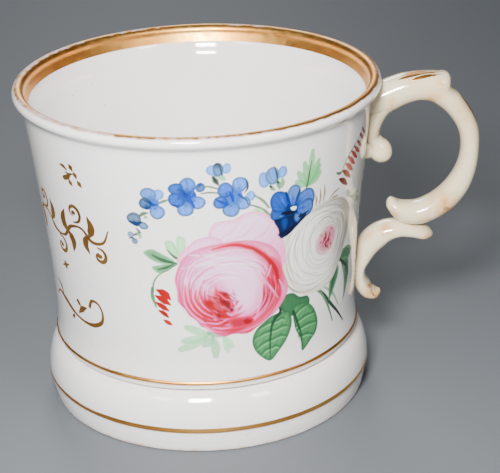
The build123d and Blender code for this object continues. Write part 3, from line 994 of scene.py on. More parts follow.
def crescents(outline, centre, count, shares, sweep, colours, half, cover):
    """Fine brush lines nested between a flower's heart and its outline.

    A line keeps to one share of the way out: place = centre + share * (edge(angle) - centre),
    with the share creeping outwards along the line, so that the lines wind like petals.
    """
    flat = np.array([spray.scale, 1.0])
    away = (np.asarray(outline, float) - centre) * flat
    edge_angle = np.arctan2(away[:, 1], away[:, 0])
    edge_reach = np.hypot(away[:, 0], away[:, 1])
    for number in range(count):
        share = brush.uniform(*shares)
        middle = brush.uniform(*sweep)
        spread = brush.uniform(22, 55)
        angle = np.radians(np.linspace(middle - spread, middle + spread, 5))
        reach = share * np.interp(angle, edge_angle, edge_reach, period=2 * np.pi)
        reach = reach * (1 + brush.uniform(-0.08, 0.08) * np.linspace(-1, 1, 5))
        path = np.asarray(centre) + np.stack([np.cos(angle), np.sin(angle)], axis=-1) * reach[:, None] / flat
        width = half * brush.uniform(0.6, 1.4)
        colour = colours[number % len(colours)]
        spray.stroke(path, [0.04, width, width, 0.04], [colour, colour], soft=0.3, cover=cover, hair=0.0)

# %% [markdown]
# Leaves go down first because the flowers overlap them. A leaf is a washed shape, then its
# midrib and veins in darker green, each drawn from the midrib out to the edge.

# %% Green leaves
mid_green, deep_green = seen(122, 188, 136), seen(62, 132, 82)
dark_green = seen(42, 92, 58)


def veined_leaf(outline, midrib, sides, fill, vein, dark):
    """A washed leaf with a dark midrib and veins that run to given edge places."""
    spray.patch(outline, fill, seen(76, 150, 94), 1.5, soft=0.3, hair=0.14, heading=60)
    for share, edge_place in sides:
        at = np.array(midrib[0]) * (1 - share) + np.array(midrib[-1]) * share
        bend = (at + np.array(edge_place)) / 2 + np.array([0.0, 0.5])
        spray.stroke([at, bend, edge_place], [0.22, 0.50, 0.16], [vein, vein * 1.25], cover=0.6, hair=0.2)
        below = np.array([0.1, -0.75])
        spray.stroke([at + below, bend + below, edge_place + below], [0.1, 0.24, 0.1],
                     [seen(176, 220, 184), seen(150, 206, 162)],
                     soft=0.35, cover=0.7)
    spray.stroke(midrib, [0.42, 0.34, 0.16], [dark, vein], cover=0.9)


green_id, pale_id, white_id, pink_id, blue_id, red_id = 1, 2, 3, 4, 5, 6
spray.motif = green_id
spray.patch([(-59.5, 41), (-57.5, 42.4), (-54.5, 42.4), (-51.5, 40.6), (-47.5, 39.8), (-46.5, 37.8),
             (-50, 36), (-57, 36)],
            seen(92, 164, 110), seen(70, 140, 90), 1.2, soft=0.35)
veined_leaf(
    [(-59.5, 37.6), (-63, 37.2), (-66.5, 35.6), (-69.3, 33.6), (-70.4, 31), (-69.5, 28), (-67.3, 25.7),
     (-63.6, 23.9), (-60.2, 26), (-57.2, 28.5), (-55.2, 31.5), (-54.6, 34), (-56.2, 37.4)],
    [(-59.8, 37.4), (-62.2, 35.6), (-63.3, 32), (-63.6, 28), (-63.6, 24.6)],
    [(0.15, (-67.6, 34.4)), (0.35, (-69.4, 31.6)), (0.55, (-69.0, 28.4)), (0.75, (-67.2, 26.4)),
     (0.15, (-57.6, 35.4)), (0.35, (-56.2, 33.0)), (0.55, (-57.0, 30.2)), (0.75, (-60.0, 27.4))],
    mid_green, deep_green, dark_green)
veined_leaf(
    [(-54.5, 38.0), (-51, 38.6), (-48, 38), (-45, 36), (-42.9, 33), (-42.1, 30), (-43.1, 27.6), (-46, 25.8),
     (-48.5, 24.3), (-49.9, 23.7), (-50.6, 27), (-53, 31), (-54.2, 35)],
    [(-54.0, 36.6), (-52.2, 33), (-50.6, 29.5), (-49.8, 25)],
    [(0.10, (-47.6, 37.4)), (0.30, (-44.2, 34.2)), (0.50, (-43.0, 31.0)), (0.70, (-44.6, 27.6)),
     (0.40, (-53.0, 31.4)), (0.65, (-51.4, 28.0))],
    mid_green, deep_green, dark_green)
spray.stroke([(-60.0, 39.5), (-59.5, 37.8), (-61.6, 36.2), (-62.8, 33.8)], [0.25, 0.55, 0.55, 0.25],
             [dark_green, deep_green])

# stems and leaves to the right of the white rose
spray.stroke([(-43.5, 41.0), (-39.5, 38.0), (-34, 33.2), (-29, 29.2), (-24.8, 25.4)],
             [0.5, 0.62, 0.55, 0.45, 0.25],
             [dark_green, seen(60, 120, 75), dark_green])
spray.stroke([(-41.5, 39.6), (-37.5, 35.2), (-33.0, 28.0)], [0.35, 0.45, 0.25],
             [seen(150, 190, 155), seen(120, 170, 130)])
spray.stroke([(-40.0, 40.5), (-34, 37.0), (-29.0, 31.5)], [0.3, 0.5, 0.2],
             [seen(170, 205, 170), seen(150, 190, 150)], cover=0.8)
spray.patch([(-33, 47.5), (-28, 48.2), (-22, 47.6), (-18.5, 45.2), (-20.5, 43.6), (-25, 44), (-30, 45)],
            seen(110, 172, 128), seen(150, 200, 162), 1.0, soft=0.5)
spray.patch([(-32, 46), (-30, 42.5), (-33.0, 37.5), (-35.6, 35.0), (-36.2, 39), (-34.8, 43.5)],
            seen(108, 172, 124), seen(150, 200, 162), 1.0, soft=0.5)
spray.patch([(-29, 45), (-25.5, 41), (-24.5, 36), (-25.5, 31.5), (-22.4, 34.5), (-20.6, 39.5), (-22.0, 43.5)],
            seen(104, 168, 120), seen(146, 198, 158), 1.2, soft=0.5)
spray.stroke([(-31.5, 46.8), (-27.5, 44.2), (-22.3, 40.6), (-20.5, 38.0)], [0.3, 0.5, 0.45, 0.2],
             [dark_green, seen(50, 105, 68)])
spray.stroke([(-30.5, 45.6), (-33.2, 41.5), (-34.6, 37.0)], [0.3, 0.4, 0.15], [dark_green, deep_green],
             cover=0.8)
spray.stroke([(-28.0, 44.0), (-25.2, 39.5), (-24.6, 34.0)], [0.25, 0.4, 0.15], [dark_green, deep_green],
             cover=0.8)

# leaves to the left of the pink rose
spray.patch([(-106.5, 58.2), (-103.5, 59.4), (-100, 58.2), (-96, 56), (-99.5, 55.2), (-104.0, 56.2)],
            seen(150, 196, 160), seen(175, 212, 182), 0.8, soft=0.3)
spray.patch([(-104.0, 54.0), (-100.5, 55.0), (-95.5, 55.8), (-98.5, 53.2), (-102.0, 52.4)],
            seen(150, 196, 160), seen(175, 212, 182), 0.8, soft=0.3)
spray.patch([(-98.4, 62.2), (-96.2, 61.8), (-94.6, 58.8), (-93.4, 56.6), (-96.2, 57.2), (-98.4, 59.6)],
            seen(196, 222, 200), seen(186, 216, 192), 0.8, soft=0.35)
spray.patch([(-94.3, 63.6), (-92.6, 63.2), (-92.0, 60.0), (-92.6, 57.0), (-94.3, 58.2), (-95.0, 61.0)],
            seen(200, 224, 204), seen(190, 218, 196), 0.8, soft=0.35)
spray.stroke([(-103.4, 57.6), (-99.5, 56.2), (-95.6, 55.6)], [0.25, 0.55, 0.25],
             [seen(95, 150, 105), seen(80, 140, 90)])
spray.stroke([(-98.2, 59.4), (-95.6, 57.2), (-92.6, 56.4)], [0.15, 0.38, 0.3],
             [seen(120, 165, 125), seen(85, 140, 90)])
spray.stroke([(-102.0, 53.4), (-99.0, 54.2), (-96.5, 55.2)], [0.15, 0.4, 0.2],
             [seen(95, 150, 105), seen(90, 145, 100)])
spray.stroke([(-95.2, 55.4), (-98.4, 53.6), (-101.8, 51.8), (-103.8, 49.4), (-104.3, 46.6)],
             [0.24, 0.2, 0.22, 0.25, 0.3],
             [seen(120, 170, 130), seen(150, 190, 155), seen(110, 165, 120)])
spray.stroke([(-104.6, 47.8), (-104.6, 45.0), (-103.6, 42.2)], [0.3, 0.55, 0.25],
             [seen(110, 165, 120), seen(150, 190, 155)])

# %% [markdown]
# Thinner leaves were set with a nearly empty brush: one pale touch for each leaflet, and fine
# ochre blades of grass. One stroke that swells towards its tip gives a leaflet, so a root and a
# list of tips are all that a fan needs.

# %% Pale leaves and ochre grasses
spray.motif = pale_id


def pale_leaflets(root, tips, half_width, fill):
    """Thin washed leaflets that fan out from a root."""
    for tip in tips:
        root_place, tip_place = np.array(root, float), np.array(tip, float)
        middle = (root_place + tip_place) / 2 + np.array([0.4, -0.3])
        widths = [0.2, 0.7 * half_width, 1.25 * half_width, 1.25 * half_width, 0.8 * half_width]
        spray.stroke([root_place, middle, tip_place], widths, [fill * 0.80, fill, fill * 0.9],
                     soft=0.35, cover=0.8, hair=0.06)


pale_leaflets((-85.0, 34.4), [(-93.4, 36.6), (-94.8, 32.4), (-96.0, 29.8)], 0.95, seen(186, 218, 192))
pale_leaflets((-84.4, 34.0), [(-83.6, 27.8), (-87.4, 31.2)], 1.0, seen(178, 214, 186))
pale_leaflets((-81.0, 33.8), [(-77.6, 30.2), (-79.2, 29.0)], 0.8, seen(196, 222, 200))
spray.stroke([(-86.0, 34.8), (-83.0, 33.9), (-79.5, 33.6)], [0.4, 0.7, 0.2],
             [seen(150, 195, 158), seen(176, 210, 182)], cover=0.8)
pale_leaflets((-50.4, 72.6), [(-49.0, 82.2), (-52.0, 79.4), (-54.2, 77.2), (-46.2, 79.0), (-45.2, 75.4),
                              (-54.8, 74.8), (-45.6, 77.4)],
              0.80, seen(152, 214, 164))
spray.stroke([(-51.0, 71.0), (-50.0, 75.0), (-49.2, 79.5)], [0.2, 0.28, 0.12],
             [seen(90, 150, 100), seen(120, 175, 125)])
pale_leaflets((-25.0, 62.8), [(-15.6, 59.4), (-17.4, 62.0), (-28.4, 65.2)], 0.7, seen(176, 200, 170))
for path in ([(-42.6, 71.2), (-42.2, 68.6), (-42.7, 66.6)], [(-44.6, 70.6), (-44.1, 68.0), (-44.5, 65.8)],
             [(-46.6, 69.4), (-45.9, 67.4), (-46.0, 65.9)], [(-39.8, 66.1), (-37.4, 67.3), (-34.2, 67.9)],
             [(-39.6, 65.7), (-37.2, 66.1), (-34.8, 66.0)]):
    spray.stroke(path, [0.12, 0.36, 0.2], [seen(196, 172, 118), seen(186, 158, 108)], soft=0.3, cover=0.9)

# %% [markdown]
# The white rose is ivory paint with grey-olive shadows between the petals. The petals are nested
# crescents round a small carmine heart. Fine lines are enough, because a white flower is told by
# its shadows more than by its colour.

# %% White rose
spray.motif = white_id
ivory, shade, olive = seen(228, 226, 222), seen(200, 194, 187), seen(172, 176, 158)
white_outline = [(-59.5, 56), (-59, 50), (-57.5, 46), (-55, 43), (-50, 41), (-45, 40), (-40, 40),
                 (-34, 41.5), (-30.5, 45), (-26.5, 50), (-24.5, 54.5), (-25.0, 59.5), (-29, 63.4),
                 (-35, 65.6), (-42, 66.2), (-50, 65.2), (-56, 62)]
spray.patch(white_outline, ivory, seen(218, 215, 210), 2.2, ramp=((-44, 53), (-24, 56), shade), soft=0.35,
            hair=0.03, heading=70)
white_folds = [
    ([(-58.6, 48.5), (-56.0, 44.4), (-51.5, 41.9), (-46.5, 41.2), (-41.5, 41.6)], 0.30, olive, 0.75),
    ([(-57.4, 50.0), (-54.6, 46.0), (-50.0, 43.4), (-44.5, 42.9), (-38.5, 43.8)], 0.22, seen(186, 184, 170),
     0.6),
    ([(-56.4, 58.6), (-57.0, 53.8), (-55.0, 49.0), (-51.0, 46.0)], 0.24, seen(198, 196, 186), 0.6),
    ([(-52.8, 60.6), (-54.2, 55.4), (-52.6, 50.4), (-48.6, 46.8), (-43.4, 45.6)], 0.22, seen(186, 183, 172),
     0.6),
    ([(-49.4, 62.2), (-51.0, 57.2), (-50.4, 52.0), (-47.0, 48.2), (-41.6, 46.8), (-36.0, 48.0)], 0.22,
     seen(190, 186, 176), 0.6),
    ([(-46.0, 60.4), (-47.6, 56.0), (-46.8, 52.2), (-44.0, 49.6), (-39.8, 48.8)], 0.20, seen(192, 186, 180),
     0.6),
    ([(-31.5, 60.6), (-29.4, 56.6), (-29.6, 52.4), (-31.6, 48.6), (-34.8, 45.6)], 0.32, seen(158, 158, 142),
     0.6),
    ([(-34.2, 59.2), (-32.4, 55.6), (-32.6, 51.8), (-34.8, 48.8)], 0.28, seen(168, 162, 150), 0.55),
    ([(-28.0, 60.0), (-26.4, 56.0), (-27.0, 51.8), (-29.6, 47.6)], 0.30, seen(152, 156, 138), 0.6),
    ([(-55.0, 62.6), (-49.0, 64.4), (-42.0, 64.8), (-36.0, 63.8), (-31.0, 61.6)], 0.24, seen(196, 192, 186),
     0.55),
    ([(-50.0, 61.6), (-44.6, 63.2), (-38.8, 62.6), (-34.4, 60.4)], 0.22, seen(192, 188, 180), 0.6),
    ([(-44.6, 60.2), (-41.0, 61.2), (-37.4, 60.2), (-35.4, 58.4)], 0.20, seen(188, 180, 176), 0.6),
]
for path, half, colour, cover in white_folds:
    spray.stroke(path, [0.08, half, half, 0.08], [colour, colour * 0.97], soft=0.4, cover=cover, hair=0.06)
white_lights = [
    [(-55.4, 60.0), (-56.2, 55.6), (-54.4, 51.0), (-50.2, 48.0)],
    [(-50.8, 60.8), (-52.2, 56.0), (-51.2, 51.6), (-47.8, 48.6)],
    [(-47.4, 62.4), (-49.4, 58.0), (-48.8, 54.0), (-46.0, 50.8)],
    [(-53.6, 44.2), (-48.6, 42.2), (-43.0, 42.2)],
    [(-38.0, 50.0), (-34.6, 52.6), (-33.4, 56.2)], [(-44.0, 47.4), (-39.6, 47.6), (-36.0, 49.6)],
]
for path in white_lights:
    spray.stroke(path, [0.1, 0.45, 0.45, 0.1], [seen(238, 236, 232), seen(232, 229, 225)], soft=0.5,
                 cover=0.6, hair=0.04)
white_tones = [shade, seen(236, 234, 230), olive, seen(232, 230, 226), seen(186, 182, 172),
               seen(240, 238, 235)]
crescents(white_outline, (-39.5, 54.2), 90, (0.24, 0.96), (0, 360), white_tones, 0.16, 0.45)
blush, carmine, madder = seen(214, 140, 150), seen(200, 70, 85), seen(176, 40, 45)
spray.patch([(-44.6, 55.4), (-42.0, 57.6), (-38.0, 58.4), (-34.6, 56.6), (-34.4, 53.4), (-36.4, 50.8),
             (-40.0, 50.4), (-43.6, 51.6)],
            seen(210, 110, 134), seen(222, 176, 186), 2.4, soft=2.2, cover=0.7)
for lean in range(0, 360, 24):
    tip = np.array([math.cos(math.radians(lean)) / spray.scale, math.sin(math.radians(lean))])
    reach = 2.2 + 1.1 * math.sin(2.6 * lean)
    spray.stroke([tip * 0.6 + (-39.4, 54.4), tip * reach + (-39.4, 54.4)], [0.3, 0.08], [carmine, blush],
                 soft=0.4, cover=0.8)
for number in range(26):
    place = np.array([-39.2, 54.4]) + brush.uniform(-1, 1, 2) * (3.2, 2.6)
    lean = np.radians(brush.uniform(40, 140))
    reach = brush.uniform(0.5, 1.3) * np.array([math.cos(lean) / spray.scale, math.sin(lean)])
    half = brush.uniform(0.18, 0.42)
    colour = (carmine, madder, seen(190, 60, 90), seen(232, 200, 206))[number % 4]
    spray.stroke([place - reach, place + reach], [0.06, half, 0.06], [colour, colour], soft=0.5, cover=0.75,
                 hair=0.1)

# %% [markdown]
# The pink rose is built as a painter builds it: a pale ground, loose back petals, a crimson line
# for the bowl's lip, crescents that darken towards the heart, and light strokes wiped out of them.

# %% Pink rose
spray.motif = pink_id
petal_pale = seen(232, 212, 216)
rose_deep, crimson = seen(214, 82, 100), seen(200, 52, 46)
spray.patch([(-84.4, 62), (-84.2, 65), (-82.4, 67), (-79, 67.4), (-76, 67.6), (-73, 68.8), (-69, 69),
             (-65.6, 67.8), (-62.6, 65.6), (-60.2, 62.4), (-58.6, 58), (-58.2, 52), (-62, 50), (-72, 56)],
            seen(234, 218, 220), seen(228, 202, 208), 1.6, ramp=((-70, 66), (-58, 52), seen(230, 200, 208)),
            soft=0.35, heading=50)
spray.patch([(-95.2, 56), (-93.2, 59.2), (-91.2, 60.6), (-89.2, 62.2), (-86.5, 63), (-83.8, 63.2),
             (-80, 61.5), (-83, 57), (-90, 55)],
            seen(232, 212, 218), seen(226, 196, 208), 1.4, soft=0.35)
for path in ([(-80.5, 62.2), (-76.5, 64.6), (-73.5, 68.2)], [(-78.4, 61.6), (-72.6, 62.8), (-68.2, 66.6)],
             [(-70.2, 60.8), (-66.0, 62.4), (-63.2, 65.2)], [(-66.8, 57.2), (-63.4, 58.8), (-60.6, 61.6)]):
    spray.stroke(path, [0.1, 0.32, 0.1], [seen(224, 184, 196), seen(230, 206, 212)], soft=0.6, cover=0.6)
spray.patch([(-92.5, 57.6), (-95.2, 54), (-96.4, 50), (-95.6, 47), (-96.0, 44.4), (-93.4, 41.8),
             (-92.2, 40.0), (-89.8, 38.6), (-88.2, 36.8), (-85.4, 36.0), (-83.4, 34.4), (-80, 33.3),
             (-77, 33.9), (-72.6, 33.4), (-69.6, 34.3), (-66.6, 36), (-62, 37.8), (-58.6, 40.6),
             (-56.6, 43.8), (-57.2, 47), (-59, 50), (-59.8, 54), (-62.6, 57.6), (-68, 60.2), (-74, 61.2),
             (-80, 61), (-87, 60)],
            petal_pale, seen(222, 158, 180), 3.2, ramp=((-82, 52), (-95, 42), seen(218, 132, 164)),
            soft=0.35, hair=0.04, heading=120)
spray.patch([(-82, 36.4), (-77, 34.2), (-70, 34.8), (-64, 38), (-59, 42), (-58.2, 47), (-60.2, 53),
             (-63, 55), (-65.6, 48), (-67.6, 41), (-73, 38.4)],
            seen(216, 96, 124), seen(222, 128, 154), 1.8, soft=1.2, cover=0.92, heading=60)
spray.patch([(-95, 47), (-93, 42), (-89, 38.4), (-84, 35.8), (-78, 35.2), (-72, 36), (-72, 39.5), (-78, 40),
             (-84, 44), (-88, 48.6), (-92, 49.6)],
            seen(218, 110, 140), seen(222, 140, 166), 2.2, soft=1.6, cover=0.75, heading=150)
spray.patch([(-89, 58.8), (-84, 59.4), (-77, 59.4), (-71, 58.2), (-67, 55.6), (-65.4, 51), (-66.4, 45),
             (-69, 40.4), (-74, 38.8), (-78, 41), (-80, 46), (-86, 49.5), (-92, 51.5), (-94, 54)],
            seen(230, 214, 219), seen(226, 190, 204), 2.6, ramp=((-78, 55), (-93, 50), seen(222, 172, 196)),
            soft=1.2, hair=0.04, heading=140)
for path, colour in (
    ([(-91, 58), (-84, 57.4), (-77, 54.2)], seen(238, 230, 232)),
    ([(-94, 54), (-86, 55.4), (-78, 54.4)], seen(236, 226, 230)),
    ([(-95, 50.4), (-88, 53.6), (-83, 54.2)], seen(216, 158, 190)),
    ([(-94.6, 52.6), (-90, 55.4), (-87, 56)], seen(222, 176, 200)),
    ([(-85.4, 57.6), (-80, 55.6), (-76, 53.4)], seen(222, 206, 210)),
    ([(-88, 50.6), (-84, 51.4), (-80, 50.8)], seen(238, 228, 231)),
    ([(-88, 58.6), (-87, 57.6), (-85.4, 57.4)], seen(226, 168, 190)),
    ([(-84, 59.2), (-81, 59.0), (-79, 58.8)], seen(224, 170, 186))):
    spray.stroke(path, [0.12, 0.5, 0.12], [colour, colour], soft=0.6, cover=0.6)
crest = [(-83.5, 59.4), (-80, 60), (-77.5, 60.2), (-75, 60), (-72.5, 59.3), (-70, 58.4), (-67.4, 56.8),
         (-64.8, 54.6), (-62.4, 51.6), (-61.2, 48.6), (-61.4, 45.0)]
spray.stroke(crest, [0.25, 0.75, 1.0, 1.2, 1.25, 0.9],
             [seen(226, 130, 150), seen(222, 120, 140), seen(220, 110, 130)], soft=0.9, cover=0.75)
spray.stroke(crest, [0.12, 0.42, 0.5, 0.6, 0.9, 0.4], [seen(216, 76, 100), seen(206, 54, 68), crimson],
             soft=0.4, cover=0.95)
spray.stroke([(-65.6, 50.0), (-63.6, 47.6), (-61.8, 45.4), (-59.8, 42.8)], [0.2, 0.9, 0.7, 0.2],
             [seen(222, 100, 118), crimson, seen(214, 84, 100)], soft=0.5, cover=0.85)
spray.patch([(-66.0, 47.2), (-64.0, 45.4), (-62.4, 43.2), (-63.2, 40.8), (-65.4, 38.8), (-68.0, 37.6),
             (-67.2, 40.2), (-66.4, 43.4)],
            crimson, seen(212, 84, 96), 1.0, soft=0.4, heading=60)
pink_outline = [(-92.5, 57.6), (-95.2, 54), (-96.2, 50), (-95.8, 44.6), (-92.2, 40.0), (-88.2, 36.8),
                (-83.4, 34.4), (-77, 33.7), (-69.6, 34.3), (-62, 37.8), (-57.2, 43.4), (-58.6, 50),
                (-62.6, 57.0), (-74, 60.6), (-87, 59.6)]
outer_tones = [seen(236, 190, 208), seen(214, 92, 128), seen(240, 210, 222), seen(220, 120, 152), rose_deep]
inner_tones = [seen(206, 48, 70), seen(238, 180, 200), seen(214, 80, 108), rose_deep, seen(240, 200, 214)]
bowl_tones = [seen(238, 224, 230), seen(224, 176, 196), seen(240, 232, 236), seen(232, 200, 212)]
crescents(pink_outline, (-80.0, 43.5), 60, (0.62, 0.97), (150, 300), outer_tones, 0.17, 0.6)
hollow_tones = [seen(210, 62, 92), seen(214, 84, 118)]
crescents(pink_outline, (-80.0, 43.5), 26, (0.35, 0.90), (170, 290), hollow_tones, 0.26, 0.6)
crescents(pink_outline, (-80.0, 43.5), 60, (0.26, 0.66), (160, 300), inner_tones, 0.18, 0.7)
crescents(pink_outline, (-80.0, 43.5), 40, (0.35, 0.86), (60, 160), bowl_tones, 0.17, 0.5)
side_tones = [seen(222, 110, 136), seen(240, 196, 208), seen(208, 60, 84)]
crescents(pink_outline, (-80.0, 43.5), 24, (0.62, 0.95), (-50, 30), side_tones, 0.18, 0.6)
spray.patch([(-87.5, 46.0), (-85.0, 44.4), (-82.8, 47.4), (-81.4, 47.2), (-79.4, 46.0), (-77.4, 43.8),
             (-76.4, 41.4), (-78.0, 38.8), (-82.0, 38.6), (-85.6, 40.0), (-87.6, 43.0)],
            seen(206, 50, 62), seen(218, 92, 126), 2.2, soft=1.8, cover=0.85)
rings = [
    [(-93.0, 49.0), (-93.0, 45.4), (-91.6, 42.0), (-88.6, 39.6), (-85.0, 38.0), (-81.0, 38.2)],
    [(-91.2, 48.0), (-91.6, 45.0), (-89.9, 42.2), (-87.2, 40.2), (-84.0, 39.0)],
    [(-89.4, 47.6), (-89.8, 45.2), (-88.4, 43.0), (-86.2, 41.2), (-84.2, 40.2)],
    [(-88.0, 47.4), (-88.4, 45.4), (-87.2, 43.8), (-85.4, 42.4)],
    [(-87.8, 37.6), (-84.4, 36.7), (-81.2, 36.8), (-78.6, 37.9)],
    [(-83.6, 35.6), (-79.6, 34.9), (-75.4, 35.0), (-71.4, 36.2)],
]
for path in rings:
    spray.stroke(path, [0.2, 0.55, 0.55, 0.3], [seen(220, 112, 144), rose_deep, seen(206, 52, 64)],
                 soft=0.45, cover=0.9)
for path in ([(-93.8, 47.6), (-93.4, 43.6), (-90.6, 40.2), (-87.4, 38.3)],
             [(-92.2, 48.6), (-92.0, 44.6), (-90.4, 41.6), (-87.6, 39.6)],
             [(-90.2, 48.4), (-90.6, 45.2), (-89.0, 42.4), (-86.4, 40.4), (-83.8, 39.4)],
             [(-88.8, 46.6), (-87.4, 43.2), (-85.0, 41.2)],
             [(-86.4, 37.9), (-82.0, 37.4), (-79.4, 38.4)], [(-84.2, 36.3), (-80.4, 35.8), (-76.8, 36.0)]):
    spray.stroke(path, [0.08, 0.24, 0.2, 0.08], [seen(238, 196, 210), seen(236, 176, 192)], soft=0.35,
                 cover=0.85)
spray.patch([(-78.8, 38.2), (-74.4, 38.6), (-70.0, 38.0), (-69.6, 36.2), (-72.6, 35.6), (-77.2, 35.6)],
            seen(208, 70, 96), seen(220, 100, 130), 1.0, soft=0.8)
heart = [
    ([(-82.0, 47.0), (-80.6, 46.0), (-79.0, 44.4), (-78.0, 42.4)], 0.95, seen(196, 44, 34)),
    ([(-82.8, 48.4), (-82.6, 46.4), (-82.6, 44.8)], 0.35, seen(218, 96, 112)),
    ([(-81.6, 44.4), (-80.0, 43.4), (-78.6, 42.2), (-77.8, 41.2)], 0.55, seen(150, 28, 14)),
    ([(-86.6, 44.6), (-85.0, 43.2), (-84.0, 42.0)], 0.65, seen(198, 50, 42)),
    ([(-84.6, 45.0), (-84.2, 43.0), (-83.0, 41.4)], 0.35, seen(206, 60, 56)),
    ([(-83.6, 40.6), (-81.0, 39.6), (-78.2, 39.0)], 0.75, seen(204, 58, 52)),
    ([(-77.2, 43.8), (-76.9, 42.6), (-77.3, 41.6)], 0.36, seen(206, 62, 70)),
    ([(-76.6, 42.2), (-75.8, 43.0), (-75.0, 43.6)], 0.34, seen(208, 66, 72)),
    ([(-75.6, 40.6), (-74.6, 41.4), (-73.6, 42.2)], 0.30, seen(212, 74, 84)),
    ([(-73.4, 37.4), (-71.6, 37.0), (-70.2, 37.4)], 0.65, seen(190, 46, 34)),
    ([(-72.6, 33.8), (-71.2, 34.0), (-69.8, 34.5)], 0.28, seen(214, 84, 100)),
    ([(-77.7, 41.3), (-77.3, 41.0), (-77.0, 40.8)], 0.40, seen(40, 8, 6)),
]
for path, half, colour in heart:
    spray.stroke(path, [0.1, 1.3 * half, 1.0 * half, 0.1], [colour, colour * 1.1], soft=0.9, cover=0.9,
                 hair=0.2)
for number in range(34):
    place = np.array([-80.6, 43.0]) + brush.uniform(-1, 1, 2) * (4.6, 3.2)
    lean = np.radians(brush.uniform(-70, -20) if place[0] > -80.6 else brush.uniform(100, 170))
    reach = brush.uniform(0.6, 1.5) * np.array([math.cos(lean) / spray.scale, math.sin(lean)])
    colour = (seen(190, 36, 40), seen(200, 44, 50), seen(236, 160, 178), seen(158, 24, 18),
              seen(196, 40, 34))[number % 5]
    spray.stroke([place - reach, place + reach], [0.05, brush.uniform(0.14, 0.32), 0.05], [colour, colour],
                 soft=0.4, cover=0.7)
for path in ([(-66.3, 49.2), (-63.4, 45.8), (-60.4, 42.2)], [(-67.0, 44.6), (-67.6, 41.0), (-69.2, 37.0)],
             [(-63.4, 52.4), (-64.4, 50.0), (-65.8, 48.4)],
             [(-79.2, 40.4), (-77.6, 39.6), (-76.0, 39.9)], [(-76.2, 44.2), (-76.6, 43.2), (-76.2, 42.2)],
             [(-60.2, 47.6), (-58.6, 44.8), (-58.6, 42.4)]):
    spray.stroke(path, [0.08, 0.32, 0.1], [seen(240, 206, 214), seen(236, 186, 200)], soft=0.4, cover=0.85)
for shift in np.linspace(0, 1, 7):
    spray.stroke([(-72.5 + 5 * shift, 39.6 + shift), (-71.0 + 4.6 * shift, 44 + 2 * shift),
                  (-72.0 + 4.4 * shift, 50 + 2 * shift)],
                 [0.08, 0.16, 0.08], [seen(222, 190, 200), seen(230, 214, 218)], soft=0.4, cover=0.5)

# %% [markdown]
# Blue flowers: each petal is a shape with a pale or mid inside, a darker rim where the colour
# pooled, and a deeper throat. The large violet-like flower has a navy keel below its white eye.

# %% Blue blossoms
spray.motif = blue_id
sky, mid_blue, royal = seen(172, 198, 230), seen(105, 152, 215), seen(62, 112, 198)
deep_blue, navy, slate = seen(30, 72, 160), seen(14, 20, 88), seen(96, 122, 152)


def petal(centre, radii, turn, inner, outer, root=None, root_colour=None, soft=0.3):
    """An oval petal with a pooled rim; its root end can blend into a deeper throat colour."""
    angle = np.linspace(0, 2 * np.pi, 14, endpoint=False)
    lobes = 1 + 0.035 * np.sin(3 * angle + centre[0])
    across = radii[0] * np.cos(angle) * lobes
    up = radii[1] * np.sin(angle) * lobes
    lean = math.radians(turn)
    outline = np.stack([
        centre[0] + (across * math.cos(lean) - up * math.sin(lean)) / spray.scale,
        centre[1] + across * math.sin(lean) + up * math.cos(lean),
    ], axis=-1)
    ramp = None if root is None else (centre, root, root_colour)
    spray.patch(outline, inner, outer, 0.8, ramp=ramp, soft=soft, hair=0.10, heading=turn + 90)
    if root is not None:
        start = 0.55 * np.array(centre) + 0.45 * np.array(root)
        for place in outline[::2]:
            tip = 0.12 * np.array(centre) + 0.88 * place
            spray.stroke([start, tip], [0.12, 0.05], [outer * 0.8, outer], soft=0.3, cover=0.32, hair=0.0)


# throats, so that the petals never leave white between them
for place, radii, colour in (((-101.8, 72.8), (1.9, 1.8), mid_blue), ((-91.0, 74.8), (2.7, 2.8), royal),
                             ((-76.8, 73.6), (2.9, 2.7), mid_blue),
                             ((-56.6, 67.4), (3.6, 3.0), deep_blue), ((-107.8, 66.8), (1.4, 1.2), slate),
                             ((-63.4, 77.4), (1.8, 1.8), sky),
                             ((-80.8, 81.4), (1.6, 1.5), sky)):
    petal(place, radii, 0, colour, colour * 1.05)
# two buds and the smallest flower at the tip of the spray
petal((-110.2, 63.0), (1.0, 0.9), 20, seen(178, 192, 214), seen(160, 176, 200), soft=0.4)
petal((-109.0, 61.2), (0.9, 0.9), -20, seen(158, 182, 208), seen(130, 155, 185), soft=0.4)
spray.stroke([(-111.0, 61.8), (-109.8, 62.1), (-108.8, 61.8)], [0.12, 0.3, 0.12], [slate, seen(60, 85, 120)])
petal((-105.4, 66.0), (1.3, 1.1), -20, seen(165, 188, 215), seen(90, 115, 140))
petal((-108.4, 67.8), (2.0, 1.8), 10, seen(150, 172, 200), seen(96, 120, 150), (-108.4, 66.0),
      seen(70, 105, 160))
spray.stroke([(-110.2, 66.8), (-108.0, 66.3), (-106.2, 66.9)], [0.25, 0.6, 0.35],
             [seen(60, 84, 120), deep_blue, seen(60, 90, 140)])
spray.stroke([(-109.9, 68.4), (-108.2, 69.0), (-106.8, 68.2)], [0.1, 0.16, 0.1],
             [seen(96, 118, 145), seen(100, 124, 155)], cover=0.7)
